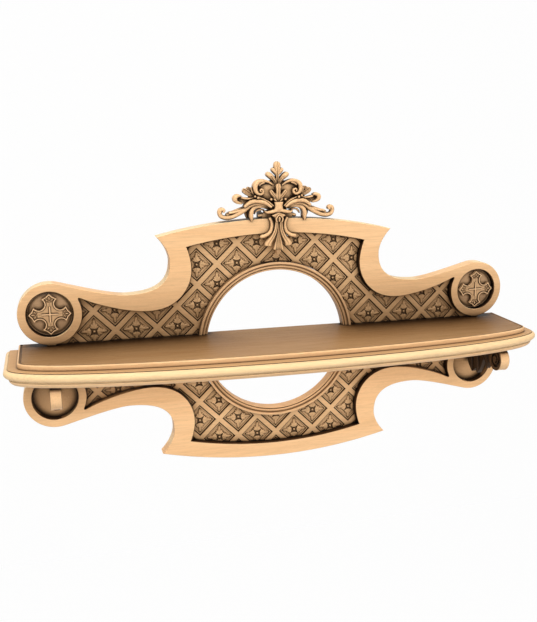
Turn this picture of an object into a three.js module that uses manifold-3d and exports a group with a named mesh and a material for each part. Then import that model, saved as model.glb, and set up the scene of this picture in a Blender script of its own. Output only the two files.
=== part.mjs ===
// Carved wall shelf: a pierced and carved backboard in two halves, a bowed shelf between them,
// two scroll consoles below the shelf and an acanthus crest on top. Millimetres, +Z up.
// The wall is the plane y = 0 and the object stands out from it towards -Y.
// The origin is on the rear face of the shelf, at the middle of its length.
import * as THREE from 'three';
import { mergeVertices } from 'three/addons/utils/BufferGeometryUtils.js';
import Module from 'manifold-3d';

const wasm = await Module();
wasm.setup();

// Fit between touching pieces
const GAP = 0.3;

// Shelf boards, heights from the origin
const SHELF_TOP = 14;
const TOP_BOARD_THICK = 8.5;
const BEAD_BOARD_THICK = 11.5;
const BASE_BOARD_THICK = 6;
const SHELF_OVERHANG = 0.9;
const SHELF_END_DEPTH = 80;
const SHELF_BOW = 49;
const SHELF_BOW_POWER = 0.9;
const TOP_EDGE_HEIGHT = 4.5;
const EDGE_ROUND = 0.8;
const COVE_OUT = 12;
const BEAD_OUT = 17;
const BEAD_NECK_OUT = 11.5;
const BASE_OUT = 9;
const BASE_FOOT_OUT = 5;

const BEAD_BOARD_TOP = SHELF_TOP - TOP_BOARD_THICK;
const BASE_BOARD_TOP = BEAD_BOARD_TOP - BEAD_BOARD_THICK;
const SHELF_BOTTOM = BASE_BOARD_TOP - BASE_BOARD_THICK;

// Frame boards. A pull is how far a curve runs on in its first or last direction.
const FRAME_THICK = 18;
const ARCH_TIP_X = 160.8;
const ARCH_TIP_Z = 147.5;
const ARCH_TIP_PULL = 14;
const ARCH_TIP_ANGLE = 0.775;
const ARCH_CROWN_Z = 167;
const WAIST_X = 144.3;
const WAIST_Z = 115;
const WAIST_PULL_UP = 10;
const WAIST_PULL_DOWN = 25;
const HOLLOW_X = 201.8;
const HOLLOW_Z = 74.7;
const HOLLOW_PULL_IN = 43.8;
const HOLLOW_PULL_OUT = 20;
const ROUNDEL_X = 296.6;
const ROUNDEL_Z = 55;
const ROUNDEL_R = 39.7;
const ROUNDEL_TANGENT_ANGLE = 1.82;
const ROUNDEL_PULL = 22;
const RECESS_R = 29;
const RECESS_DEPTH = 10;
const FOOT_HALF_WIDTH = 6;
const REBATE_WIDTH = 6;
const REBATE_DEPTH = 7;

const SHELF_HALF_LENGTH = ROUNDEL_X + ROUNDEL_R + SHELF_OVERHANG;

// Window cut through the frame boards, set in from the frame's outer edge
const CROWN_RAIL = 20;
const CORNER_RAIL_X = 38.8;
const CORNER_RAIL_Z = 14.5;
const WAIST_RAIL_X = 28.3;
const WAIST_RAIL_Z = 11;
const HOLLOW_RAIL_X = 29.3;
const HOLLOW_RAIL_Z = 23.2;
const CORNER_PULL_X = 3.5;
const CORNER_PULL_Z = 9;
const WINDOW_WAIST_PULL = 24;
const WINDOW_HOLLOW_PULL_IN = 38.5;
const WINDOW_HOLLOW_PULL_OUT = 25.5;
const TIP_PULL_X = 22;
const TIP_PULL_Z = 11;
const TIP_CLEAR = 3.5;
const TIP_ANGLE = 2.707;
const TIP_POINT_ANGLE = 2.595;
const TIP_END_ANGLE = 2.745;

const WINDOW_CROWN_Z = ARCH_CROWN_Z - CROWN_RAIL;
const WINDOW_CORNER_X = ARCH_TIP_X - CORNER_RAIL_X;
const WINDOW_CORNER_Z = ARCH_TIP_Z - CORNER_RAIL_Z;
const WINDOW_WAIST_X = WAIST_X - WAIST_RAIL_X;
const WINDOW_WAIST_Z = WAIST_Z - WAIST_RAIL_Z;
const WINDOW_HOLLOW_X = HOLLOW_X - HOLLOW_RAIL_X;
const WINDOW_HOLLOW_Z = HOLLOW_Z - HOLLOW_RAIL_Z;

// Lattice panels
const PANEL_GROUND = 7.5;
const STRIP_FRONT = 10;
const STRIP_WIDTH = 7.8;
const LATTICE_STEP = 27;
const ROSETTE_REACH = 18.5;
const ROSETTE_VALLEY = 8.5;
const ROSETTE_RISE = 2.6;

// Half rings round the open window
const RING_INNER_R = 97;
const RING_WIDTH = 11;
const RING_OUTER_R = RING_INNER_R + RING_WIDTH;
const RING_FRONT = 15.7;
const RING_BAND = 5;
const RING_STEP = 1;
const RING_THROAT = 2;
const RING_FILLET = 2;

// Medallions
const DISC_FRONT = 12.4;
const DISC_DOME = 1.6;
const DISC_RIM = 2.5;
const CROSS_REACH = 25.5;
const CROSS_WAIST = 5.6;
const CROSS_FLARE = 9.6;
const CROSS_FLARE_AT = 19.2;
const CROSS_FRONT = 17.2;
const DOME_FLAT_R = 21.2;

// Consoles under the shelf
const CONSOLE_INSET = 1.2;
const CONSOLE_X = ROUNDEL_X - CONSOLE_INSET;
const CONSOLE_WIDTH = 13.5;
const LEAF_DROP = 52.2;
const ROLL_Y = 93.5;
const ROLL_R = 15.5;
const ROLL_EYE_R = 4;
const ROLL_HOLLOW_R = 10.5;
const ROLL_HOLLOW_DEPTH = 2;

// Crest
const CREST_HALF_WIDTH = 80;
const CREST_SQUARES = 80;
const CREST_BACK = 8;
const CREST_GROUND = 14;
const CREST_FRONT = 22;
const CREST_TAIL_FRONT = 27;
const CREST_STEP = 1;
const FINIAL_BACK = 10;
const HOOK_BACK = 13;

// Fixings
const DOWEL_R = 3;
const DOWEL_LENGTH = 22;
const DOWEL_INTO_SHELF = 11;
const FOOT_DOWEL_X = ROUNDEL_X;
const RING_DOWEL_INSET = 3.3;
const RING_DOWEL_X = RING_INNER_R + RING_DOWEL_INSET;
const FOOT_DOWEL_Y = 12.5;
const RING_DOWEL_Y = 8;
const CREST_DOWEL_X = 14;
const CREST_DOWEL_LENGTH = 18;
const CREST_DOWEL_Y = 11;
const SCREW_R = 2;
const SCREW_HEAD_R = 4;
const SCREW_HEAD_HEIGHT = 2.6;
const BACK_SCREW_LENGTH = 35;
const SHELF_SCREW_LENGTH = 30;
const SHELF_SCREW_Y = 58;
const BACK_SCREW_DROP = 24;
const BACK_SCREW_Z = SHELF_BOTTOM - BACK_SCREW_DROP;
const BACK_SCREW_HEAD = 0.5;
const SCREW_RIM = 0.4;
const HANGER_X = 15;
const HANGER_WIDTH = 20;
const HANGER_THICK = 2.5;
const HANGER_ABOVE_CROWN = 19;
const HANGER_HIGH = ARCH_CROWN_Z + HANGER_ABOVE_CROWN;
const HANGER_CORNER = 4;
const HANGER_HOLE_R = 4.5;
const HANGER_HOLE_DROP = 9;
const HANGER_SCREW_R = 1.6;
const HANGER_SCREW_HEAD_R = 3;
const HANGER_SCREW_HEAD_HEIGHT = 1.4;
const HANGER_SCREW_LENGTH = 13;
const HANGER_SCREW_INSET = 6;
const HANGER_SCREW_PITCH = 14;
const HANGER_SCREW_CLEAR = 0.4;
const HANGER_TOP_SCREW_Z = ARCH_CROWN_Z - CREST_DOWEL_LENGTH / 2 - HANGER_SCREW_R - HANGER_SCREW_CLEAR;
const HANGER_LOW = HANGER_TOP_SCREW_Z - HANGER_SCREW_PITCH - HANGER_SCREW_INSET;

// Smoothness of curved outlines
const CURVE_STEPS = 6;
const CIRCLE_SIDES = 32;
const SMALL_SIDES = 8;
const ROLL_STEPS = 22;
const SHELF_STEPS = 22;
const ARCH_STEPS = 8;

// Finishes
const wood = new THREE.MeshStandardMaterial({ color: 0xe9bd8a, roughness: 0.55, metalness: 0 });
const groundWood = new THREE.MeshStandardMaterial({ color: 0xc9976a, roughness: 0.65, metalness: 0 });
const dowelWood = new THREE.MeshStandardMaterial({ color: 0xd9b07c, roughness: 0.7, metalness: 0 });
const steel = new THREE.MeshStandardMaterial({ color: 0xb4b6b8, roughness: 0.35, metalness: 1 });

const point = (x, z) => new THREE.Vector2(x, z);

// Geometry to solid and back

function solid(geometry) {
  const bare = geometry.index ? geometry.toNonIndexed() : geometry.clone();
  bare.deleteAttribute('normal');
  bare.deleteAttribute('uv');
  const merged = mergeVertices(bare, 1e-4);
  return new wasm.Manifold(new wasm.Mesh({
    numProp: 3,
    vertProperties: new Float32Array(merged.attributes.position.array),
    triVerts: new Uint32Array(merged.index.array),
  }));
}

function join(solids) {
  return solids.reduce((whole, next) => whole.add(next));
}

function cut(body, tools) {
  return tools.reduce((rest, tool) => rest.subtract(tool), body);
}

function toGeometry(body) {
  const mesh = body.getMesh();
  const geometry = new THREE.BufferGeometry();
  geometry.setAttribute('position', new THREE.BufferAttribute(new Float32Array(mesh.vertProperties), 3));
  geometry.setIndex(new THREE.BufferAttribute(new Uint32Array(mesh.triVerts), 1));
  geometry.computeVertexNormals();
  return geometry;
}

// Basic forms. Depths are distances in front of the wall.

// A plate with the given front outline (x, z), from one depth to another.
function slab(outline, nearWall, front) {
  const geometry = new THREE.ExtrudeGeometry(new THREE.Shape(outline), {
    depth: front - nearWall,
    bevelEnabled: false,
  });
  geometry.rotateX(Math.PI / 2);
  geometry.translate(0, -nearWall, 0);
  return solid(geometry);
}

// A round bar along Y.
function barAlongY(x, z, radius, nearWall, front, sides = SMALL_SIDES) {
  const geometry = new THREE.CylinderGeometry(radius, radius, front - nearWall, sides);
  geometry.translate(x, -(nearWall + front) / 2, z);
  return solid(geometry);
}

// A round bar along Z.
function barAlongZ(x, depth, radius, low, high, sides = SMALL_SIDES) {
  const geometry = new THREE.CylinderGeometry(radius, radius, high - low, sides);
  geometry.rotateX(Math.PI / 2);
  geometry.translate(x, -depth, (low + high) / 2);
  return solid(geometry);
}

// A turned form, with its outline put in the order that faces outwards.
function lathe(profile, sides) {
  const points = profile.map(([r, depth]) => point(r, -depth));
  const ordered = THREE.ShapeUtils.area(points) < 0 ? points.reverse() : points;
  return new THREE.LatheGeometry(ordered, sides);
}

// A form turned about an axis along Y through (x, z), from (radius, depth) points.
function turned(x, z, profile, sides = CIRCLE_SIDES) {
  const geometry = lathe(profile, sides);
  geometry.translate(x, 0, z);
  return solid(geometry);
}

function block(x0, x1, nearWall, front, z0, z1) {
  const geometry = new THREE.BoxGeometry(x1 - x0, front - nearWall, z1 - z0);
  geometry.translate((x0 + x1) / 2, -(nearWall + front) / 2, (z0 + z1) / 2);
  return solid(geometry);
}

// Outline helpers

function bezier(a, b, c, d, steps = CURVE_STEPS) {
  return new THREE.CubicBezierCurve(a, b, c, d).getPoints(steps);
}

function arc(cx, cz, radius, from, to, steps) {
  const points = [];
  for (let i = 0; i <= steps; i += 1) {
    const angle = from + (to - from) * i / steps;
    points.push(point(cx + radius * Math.cos(angle), cz + radius * Math.sin(angle)));
  }
  return points;
}

// A shallow arc over the middle, from the crown (0, crownZ) to (endX, endZ).
function archOver(crownZ, endX, endZ, steps) {
  const drop = crownZ - endZ;
  const radius = (endX * endX + drop * drop) / (2 * drop);
  const half = Math.asin(endX / radius);
  return arc(0, crownZ - radius, radius, Math.PI / 2, Math.PI / 2 - half, steps);
}

function dropRepeats(points) {
  return points.filter((p, i) => i === 0 || p.distanceTo(points[i - 1]) > 0.01);
}

// Moves an open line sideways, to its left when the distance is positive.
function shifted(line, distance) {
  return line.map((p, i) => {
    const before = line[Math.max(i - 1, 0)];
    const after = line[Math.min(i + 1, line.length - 1)];
    const a = p.clone().sub(before);
    const b = after.clone().sub(p);
    const ta = (a.length() > 0 ? a : b).clone().normalize();
    const tb = (b.length() > 0 ? b : a).clone().normalize();
    const na = point(-ta.y, ta.x);
    const nb = point(-tb.y, tb.x);
    const mid = na.clone().add(nb).normalize();
    return p.clone().add(mid.multiplyScalar(distance / Math.max(mid.dot(na), 0.5)));
  });
}

// Closes a right-hand line with its mirror image. The line starts on the axis.
function mirroredOutline(line) {
  const left = line.slice(1).reverse().map((p) => point(-p.x, p.y));
  return [...left, ...line];
}

// side is 1 for the board above the shelf and -1 for the one below.
const flipped = (outline, side) => outline.map((p) => point(p.x, side * p.y));

// Frame boards

// A point on the round end's circle, or outside it by out.
function onRoundel(angle, out = 0) {
  const reach = ROUNDEL_R + out;
  return point(ROUNDEL_X + reach * Math.cos(angle), ROUNDEL_Z + reach * Math.sin(angle));
}

// Outer edge of the frame from the crown to the foot under the round end.
function outerLine(footZ) {
  const tip = point(ARCH_TIP_X, ARCH_TIP_Z);
  const waist = point(WAIST_X, WAIST_Z);
  const hollow = point(HOLLOW_X, HOLLOW_Z);
  const tangent = onRoundel(ROUNDEL_TANGENT_ANGLE);
  const along = point(Math.sin(ROUNDEL_TANGENT_ANGLE), -Math.cos(ROUNDEL_TANGENT_ANGLE));
  const tipPull = point(-Math.cos(ARCH_TIP_ANGLE), -Math.sin(ARCH_TIP_ANGLE)).multiplyScalar(ARCH_TIP_PULL);
  const footAngle = -Math.acos(FOOT_HALF_WIDTH / ROUNDEL_R);
  return dropRepeats([
    ...archOver(ARCH_CROWN_Z, ARCH_TIP_X, ARCH_TIP_Z, ARCH_STEPS),
    ...bezier(tip, tip.clone().add(tipPull), point(WAIST_X, WAIST_Z + WAIST_PULL_UP), waist),
    ...bezier(waist, point(WAIST_X, WAIST_Z - WAIST_PULL_DOWN),
      point(HOLLOW_X - HOLLOW_PULL_IN, HOLLOW_Z), hollow),
    ...bezier(hollow, point(HOLLOW_X + HOLLOW_PULL_OUT, HOLLOW_Z),
      tangent.clone().addScaledVector(along, -ROUNDEL_PULL), tangent),
    ...arc(ROUNDEL_X, ROUNDEL_Z, ROUNDEL_R, ROUNDEL_TANGENT_ANGLE, footAngle, 3 * CURVE_STEPS),
    point(ROUNDEL_X + FOOT_HALF_WIDTH, footZ),
  ]);
}

// Edge of the window from the crown down to the foot of the round end.
function windowLine(footZ) {
  const corner = point(WINDOW_CORNER_X, WINDOW_CORNER_Z);
  const waist = point(WINDOW_WAIST_X, WINDOW_WAIST_Z);
  const hollow = point(WINDOW_HOLLOW_X, WINDOW_HOLLOW_Z);
  const tip = onRoundel(TIP_ANGLE, TIP_CLEAR);
  const footAngle = Math.PI + Math.acos(FOOT_HALF_WIDTH / ROUNDEL_R);
  const turn = new THREE.QuadraticBezierCurve(tip, onRoundel(TIP_POINT_ANGLE), onRoundel(TIP_END_ANGLE));
  return dropRepeats([
    ...archOver(WINDOW_CROWN_Z, WINDOW_CORNER_X, WINDOW_CORNER_Z, CURVE_STEPS),
    ...bezier(corner, point(WINDOW_CORNER_X - CORNER_PULL_X, WINDOW_CORNER_Z - CORNER_PULL_Z),
      point(WINDOW_WAIST_X, WINDOW_WAIST_Z + CORNER_PULL_Z), waist),
    ...bezier(waist, point(WINDOW_WAIST_X, WINDOW_WAIST_Z - WINDOW_WAIST_PULL),
      point(WINDOW_HOLLOW_X - WINDOW_HOLLOW_PULL_IN, WINDOW_HOLLOW_Z), hollow),
    ...bezier(hollow, point(WINDOW_HOLLOW_X + WINDOW_HOLLOW_PULL_OUT, WINDOW_HOLLOW_Z),
      point(tip.x - TIP_PULL_X, tip.y - TIP_PULL_Z), tip),
    ...turn.getPoints(CURVE_STEPS / 2),
    ...arc(ROUNDEL_X, ROUNDEL_Z, ROUNDEL_R, TIP_END_ANGLE, footAngle, ARCH_STEPS),
    point(ROUNDEL_X - FOOT_HALF_WIDTH, footZ),
  ]);
}

// Outline of everything inside the window, moved out by grow.
function windowOutline(footZ, grow) {
  const line = shifted(windowLine(footZ), grow);
  line[0].x = 0;
  line[line.length - 1].y = footZ;
  return mirroredOutline(line);
}

function frameBoard(side, footZ) {
  const outer = mirroredOutline(outerLine(footZ));
  const inner = mirroredOutline(windowLine(footZ));
  const outline = [...outer, ...inner.reverse()];
  const tools = [slab(flipped(windowOutline(footZ, REBATE_WIDTH), side), -1, REBATE_DEPTH)];
  for (const sign of [-1, 1]) {
    const x = sign * ROUNDEL_X;
    const z = side * ROUNDEL_Z;
    tools.push(barAlongY(x, z, RECESS_R, FRAME_THICK - RECESS_DEPTH, FRAME_THICK + 1, CIRCLE_SIDES));
    tools.push(dowelHole(sign * FOOT_DOWEL_X, FOOT_DOWEL_Y, side));
  }
  return cut(slab(flipped(outline, side), 0, FRAME_THICK), tools);
}

// Dowels between the shelf and the boards above and below it

function dowelSpan(side) {
  const face = side > 0 ? SHELF_TOP : SHELF_BOTTOM;
  const inside = face - side * DOWEL_INTO_SHELF;
  const outside = inside + side * DOWEL_LENGTH;
  return [Math.min(inside, outside), Math.max(inside, outside)];
}

function dowelHole(x, depth, side) {
  const [low, high] = dowelSpan(side);
  return barAlongZ(x, depth, DOWEL_R + GAP, low - GAP, high + GAP);
}

const dowelPlaces = [-1, 1].flatMap((side) => [
  [-FOOT_DOWEL_X, FOOT_DOWEL_Y, side],
  [-RING_DOWEL_X, RING_DOWEL_Y, side],
  [RING_DOWEL_X, RING_DOWEL_Y, side],
  [FOOT_DOWEL_X, FOOT_DOWEL_Y, side],
]);

// Lattice panels

// A strip of the lattice. The line x + slope * z = reach runs along its middle.
function strip(slope, reach) {
  const geometry = new THREE.BoxGeometry(STRIP_WIDTH, STRIP_FRONT - REBATE_DEPTH, 4 * ROUNDEL_X);
  geometry.rotateY(slope * -Math.PI / 4);
  geometry.translate(reach, -(STRIP_FRONT + REBATE_DEPTH) / 2, 0);
  return solid(geometry);
}

// A low four-petalled star with its tips towards the corners of its diamond.
function rosette(x, z) {
  const base = PANEL_GROUND - 0.4;
  const positions = [x, -(PANEL_GROUND + ROSETTE_RISE), z];
  const index = [];
  const count = 8;
  for (let i = 0; i < count; i += 1) {
    const angle = i * Math.PI / 4;
    const reach = i % 2 === 0 ? ROSETTE_REACH : ROSETTE_VALLEY;
    positions.push(x + reach * Math.cos(angle), -base, z + reach * Math.sin(angle));
    index.push(0, 1 + i, 1 + (i + 1) % count);
    if (i > 0 && i < count - 1) {
      index.push(1, 2 + i, 1 + i);
    }
  }
  const geometry = new THREE.BufferGeometry();
  geometry.setAttribute('position', new THREE.BufferAttribute(new Float32Array(positions), 3));
  geometry.setIndex(index);
  return solid(geometry);
}

function latticePanel(side, footZ) {
  const relief = [];
  const lines = Math.ceil((ROUNDEL_X + ARCH_CROWN_Z) / LATTICE_STEP);
  for (let n = -lines; n <= lines; n += 1) {
    if (n % 2 !== 0) {
      relief.push(strip(1, n * LATTICE_STEP), strip(-1, n * LATTICE_STEP));
    }
  }
  const columns = Math.ceil(ROUNDEL_X / LATTICE_STEP);
  const rows = Math.ceil(ARCH_CROWN_Z / LATTICE_STEP);
  for (let m = -columns; m <= columns; m += 1) {
    for (let k = 0; k <= rows; k += 1) {
      if ((m + k) % 2 === 0) {
        relief.push(rosette(m * LATTICE_STEP, side * k * LATTICE_STEP));
      }
    }
  }
  const inside = flipped(windowOutline(footZ, -GAP), side);
  const tongue = slab(flipped(windowOutline(footZ, REBATE_WIDTH - GAP), side), 0, REBATE_DEPTH - GAP);
  const ground = slab(inside, REBATE_DEPTH - 1, PANEL_GROUND);
  const carving = slab(inside, REBATE_DEPTH - 1, FRAME_THICK).intersect(join(relief));
  const bore = barAlongY(0, 0, RING_OUTER_R + GAP, -1, FRAME_THICK, 2 * CIRCLE_SIDES);
  return cut(join([tongue, ground, carving]), [bore]);
}

// Half ring round the open window: flat outer band, a step, a fillet and the jamb.
function windowRing(side, footZ) {
  const mid = RING_OUTER_R - RING_BAND;
  const profile = [
    [RING_INNER_R, 0],
    [RING_INNER_R, RING_FRONT - RING_THROAT],
    [RING_INNER_R + RING_FILLET, RING_FRONT - RING_THROAT],
    [RING_INNER_R + RING_FILLET, RING_FRONT - RING_STEP],
    [mid, RING_FRONT - RING_STEP],
    [mid, RING_FRONT],
    [RING_OUTER_R, RING_FRONT],
    [RING_OUTER_R, 0],
    [RING_INNER_R, 0],
  ];
  const whole = turned(0, 0, profile, 2 * CIRCLE_SIDES);
  const reach = RING_OUTER_R + 10;
  const near = side * footZ;
  const half = side > 0
    ? block(-reach, reach, -1, FRAME_THICK, near, reach)
    : block(-reach, reach, -1, FRAME_THICK, -reach, near);
  const holes = [-1, 1].map((sign) => dowelHole(sign * RING_DOWEL_X, RING_DOWEL_Y, side));
  return cut(whole.intersect(half), holes);
}

// Medallions

function medallionDisc(sign) {
  const r = RECESS_R - GAP;
  const floor = FRAME_THICK - RECESS_DEPTH + GAP;
  return turned(sign * ROUNDEL_X, ROUNDEL_Z, [
    [0, floor],
    [r, floor],
    [r, DISC_FRONT - DISC_DOME],
    [r - DISC_RIM, DISC_FRONT - DISC_DOME],
    [DOME_FLAT_R, DISC_FRONT],
    [0, DISC_FRONT],
  ]);
}

// Quarter of the cross: one arm with a flared, pointed end.
function crossArm() {
  const w = CROSS_WAIST;
  return [
    point(w, w),
    point(w, CROSS_FLARE_AT * 0.62),
    point(w + 1.3, CROSS_FLARE_AT * 0.8),
    point(CROSS_FLARE, CROSS_FLARE_AT),
    point(CROSS_FLARE * 0.82, CROSS_FLARE_AT + 1.8),
    point(CROSS_FLARE * 0.4, CROSS_FLARE_AT + 2.6),
    point(0, CROSS_REACH),
  ];
}

function medallionCross(sign) {
  const half = crossArm();
  const arm = [...half, ...half.slice(0, -1).reverse().map((p) => point(-p.x, p.y))];
  const outline = [];
  for (let quarter = 0; quarter < 4; quarter += 1) {
    const turn = -quarter * Math.PI / 2;
    const turnedArm = arm.map((p) => p.clone().rotateAround(point(0, 0), turn)).reverse();
    outline.push(...turnedArm.slice(1));
  }
  const moved = outline.map((p) => point(sign * ROUNDEL_X + p.x, ROUNDEL_Z + p.y));
  return slab(moved, DISC_FRONT + GAP, CROSS_FRONT);
}

// Shelf boards. Each is a stack of layers with the same bowed plan moved out by its profile.

function shelfPlan(out) {
  const half = SHELF_HALF_LENGTH + out;
  const front = arc(0, 0, 1, -Math.PI, 0, SHELF_STEPS).map((p) => point(
    half * p.x,
    -(SHELF_END_DEPTH + (SHELF_BOW + out) * Math.pow(Math.abs(p.y), SHELF_BOW_POWER)),
  ));
  return [point(-half, 0), ...front, point(half, 0)];
}

// A board whose edge follows the profile, a list of (out, height) from its lower face up.
function mouldedBoard(profile) {
  const rings = profile.map(([out, z]) => shelfPlan(out).map((p) => [p.x, p.y, z]));
  const n = rings[0].length;
  const flat = rings[0].map(([x, y]) => point(x, y));
  const caps = THREE.ShapeUtils.triangulateShape(flat, []);
  const top = (rings.length - 1) * n;
  const index = [];
  for (const [a, b, c] of caps) {
    index.push(a, c, b);
    index.push(top + a, top + b, top + c);
  }
  for (let ring = 0; ring < rings.length - 1; ring += 1) {
    for (let i = 0; i < n; i += 1) {
      const next = (i + 1) % n;
      const low = ring * n;
      const high = low + n;
      index.push(low + i, low + next, high + next);
      index.push(low + i, high + next, high + i);
    }
  }
  const geometry = new THREE.BufferGeometry();
  geometry.setAttribute('position', new THREE.BufferAttribute(new Float32Array(rings.flat(2)), 3));
  geometry.setIndex(index);
  return solid(geometry);
}

function topBoardProfile() {
  const step = SHELF_TOP - TOP_EDGE_HEIGHT;
  const low = BEAD_BOARD_TOP + GAP / 2;
  return [
    [COVE_OUT, low],
    [COVE_OUT, low + 1],
    [COVE_OUT * 0.62, low + (step - low) * 0.45],
    [COVE_OUT * 0.3, low + (step - low) * 0.85],
    [COVE_OUT * 0.1, step],
    [0, step],
    [0, SHELF_TOP - EDGE_ROUND],
    [-EDGE_ROUND, SHELF_TOP],
  ];
}

function beadBoardProfile() {
  const low = BASE_BOARD_TOP + GAP / 2;
  const high = BEAD_BOARD_TOP - GAP / 2;
  const middle = (low + high) / 2;
  const rise = (high - low) / 2;
  const points = [];
  for (const degrees of [-90, -54, -18, 18, 54, 90]) {
    const angle = THREE.MathUtils.degToRad(degrees);
    points.push([
      BEAD_NECK_OUT + (BEAD_OUT - BEAD_NECK_OUT) * Math.cos(angle),
      middle + rise * Math.sin(angle),
    ]);
  }
  return points;
}

function baseBoardProfile() {
  const high = BASE_BOARD_TOP - GAP / 2;
  const thick = high - SHELF_BOTTOM;
  return [
    [BASE_FOOT_OUT, SHELF_BOTTOM],
    [BASE_OUT - 1, SHELF_BOTTOM + thick * 0.3],
    [BASE_OUT, SHELF_BOTTOM + thick * 0.65],
    [BASE_OUT - 0.6, high],
  ];
}

function shelfHoles() {
  const holes = dowelPlaces.map(([x, depth, side]) => dowelHole(x, depth, side));
  for (const sign of [-1, 1]) {
    const x = sign * CONSOLE_X;
    holes.push(screwDown(x, SHELF_SCREW_Y, BEAD_BOARD_TOP - GAP / 2, GAP));
    holes.push(barAlongZ(x, SHELF_SCREW_Y, SCREW_HEAD_R + GAP, BEAD_BOARD_TOP - 1, BEAD_BOARD_TOP));
  }
  return holes;
}

// Screws. grow widens the form, for the hole that takes it.

function screwProfile(radius, headRadius, headHeight, length, grow) {
  return [
    [0, -grow],
    [headRadius + grow, -grow],
    [headRadius + grow, SCREW_RIM + grow],
    [radius + grow, headHeight + grow],
    [radius + grow, length - radius + grow],
    [0, length + grow],
  ];
}

// A countersunk screw pointing down from z, at a depth in front of the wall.
function screwDown(x, depth, z, grow) {
  const profile = screwProfile(SCREW_R, SCREW_HEAD_R, SCREW_HEAD_HEIGHT, SHELF_SCREW_LENGTH, grow);
  const geometry = lathe(profile, SMALL_SIDES);
  geometry.rotateX(Math.PI / 2);
  geometry.translate(x, -depth, z);
  return solid(geometry);
}

// A countersunk screw driven from behind, its head at a depth in front of the wall.
function screwForward(x, z, head, sizes, grow) {
  const profile = screwProfile(...sizes, grow);
  return turned(x, z, profile.map(([r, along]) => [r, head + along]), SMALL_SIDES);
}

const backScrewSizes = [SCREW_R, SCREW_HEAD_R, SCREW_HEAD_HEIGHT, BACK_SCREW_LENGTH];
const hangerScrewSizes = [
  HANGER_SCREW_R, HANGER_SCREW_HEAD_R, HANGER_SCREW_HEAD_HEIGHT, HANGER_SCREW_LENGTH,
];

// Consoles

// Tips and hollows of the leaf, as shares of the roll's depth and of the leaf's drop.
const leafShares = [
  [0.75, 0.7], [0.66, 0.49], [0.6, 0.68], [0.49, 0.97], [0.43, 0.87], [0.34, 1], [0.27, 0.89], [0.17, 0.74],
];

// Side outline (depth, height) of the scroll console: arm, roll in front, leaf below.
function consoleOutline() {
  const top = SHELF_BOTTOM - GAP;
  const seat = FRAME_THICK - RECESS_DEPTH + GAP;
  const rollZ = top - ROLL_R;
  const recessTop = -ROUNDEL_Z + Math.sqrt(RECESS_R ** 2 - (CONSOLE_WIDTH / 2) ** 2) - 1;
  return [
    point(FRAME_THICK + GAP, top),
    point(ROLL_Y, top),
    ...arc(ROLL_Y, rollZ, ROLL_R, Math.PI / 2, -Math.PI * 0.97, ROLL_STEPS).slice(1),
    point(ROLL_Y - ROLL_R * 1.2, rollZ),
    ...leafShares.map(([depth, drop]) => point(ROLL_Y * depth, top - LEAF_DROP * drop)),
    point(seat, top - LEAF_DROP * 0.65),
    point(seat, recessTop),
    point(FRAME_THICK + GAP, recessTop),
  ];
}

function scrollConsole(sign) {
  const shape = new THREE.Shape(consoleOutline());
  const geometry = new THREE.ExtrudeGeometry(shape, { depth: CONSOLE_WIDTH, bevelEnabled: false });
  geometry.rotateX(Math.PI / 2);
  geometry.rotateZ(-Math.PI / 2);
  geometry.translate(CONSOLE_WIDTH / 2, 0, 0);
  const rollZ = SHELF_BOTTOM - GAP - ROLL_R;
  const hollows = [-1, 1].map((face) => {
    const outer = new THREE.CylinderGeometry(ROLL_HOLLOW_R, ROLL_HOLLOW_R, ROLL_HOLLOW_DEPTH * 2, ROLL_STEPS);
    const eye = new THREE.CylinderGeometry(ROLL_EYE_R, ROLL_EYE_R, ROLL_HOLLOW_DEPTH * 4, SMALL_SIDES);
    for (const part of [outer, eye]) {
      part.rotateZ(Math.PI / 2);
      part.translate(face * CONSOLE_WIDTH / 2, -ROLL_Y, rollZ);
    }
    return solid(outer).subtract(solid(eye));
  });
  const body = cut(solid(geometry), hollows).translate([sign * CONSOLE_X, 0, 0]);
  return cut(body, consoleScrewHoles(sign));
}

function consoleScrewHoles(sign) {
  const x = sign * CONSOLE_X;
  return [
    screwForward(x, BACK_SCREW_Z, BACK_SCREW_HEAD, backScrewSizes, GAP),
    screwDown(x, SHELF_SCREW_Y, BEAD_BOARD_TOP - GAP / 2, GAP),
  ];
}

// Crest. It is drawn on a grid of squares, CREST_SQUARES of them from its middle to its side,
// with heights counted from the crown of the arch. Its curls are bands of changing width along
// a curve, listed for one half of the crest.

const square = CREST_HALF_WIDTH / CREST_SQUARES;
const drawn = (x, z) => point(x * square, ARCH_CROWN_Z + z * square);

// points are (x, z, half width) in squares. Both ends are closed round.
function band(points, back, front, steps = 10) {
  const middle = new THREE.SplineCurve(points.map(([x, z]) => drawn(x, z)));
  const widths = new THREE.SplineCurve(points.map(([, , w], i) => point(i, w * square)));
  const left = [];
  const right = [];
  for (let i = 0; i <= steps; i += 1) {
    const t = i / steps;
    const at = middle.getPoint(t);
    const along = middle.getTangent(t);
    const w = Math.max(widths.getPoint(t).y, GAP);
    left.push(point(at.x - along.y * w, at.y + along.x * w));
    right.push(point(at.x + along.y * w, at.y - along.x * w));
  }
  const tip = middle.getPoint(1).addScaledVector(middle.getTangent(1), points.at(-1)[2] * square);
  const root = middle.getPoint(0).addScaledVector(middle.getTangent(0), -points[0][2] * square);
  return slab([...left, tip, ...right.reverse(), root], back, front);
}

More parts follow.
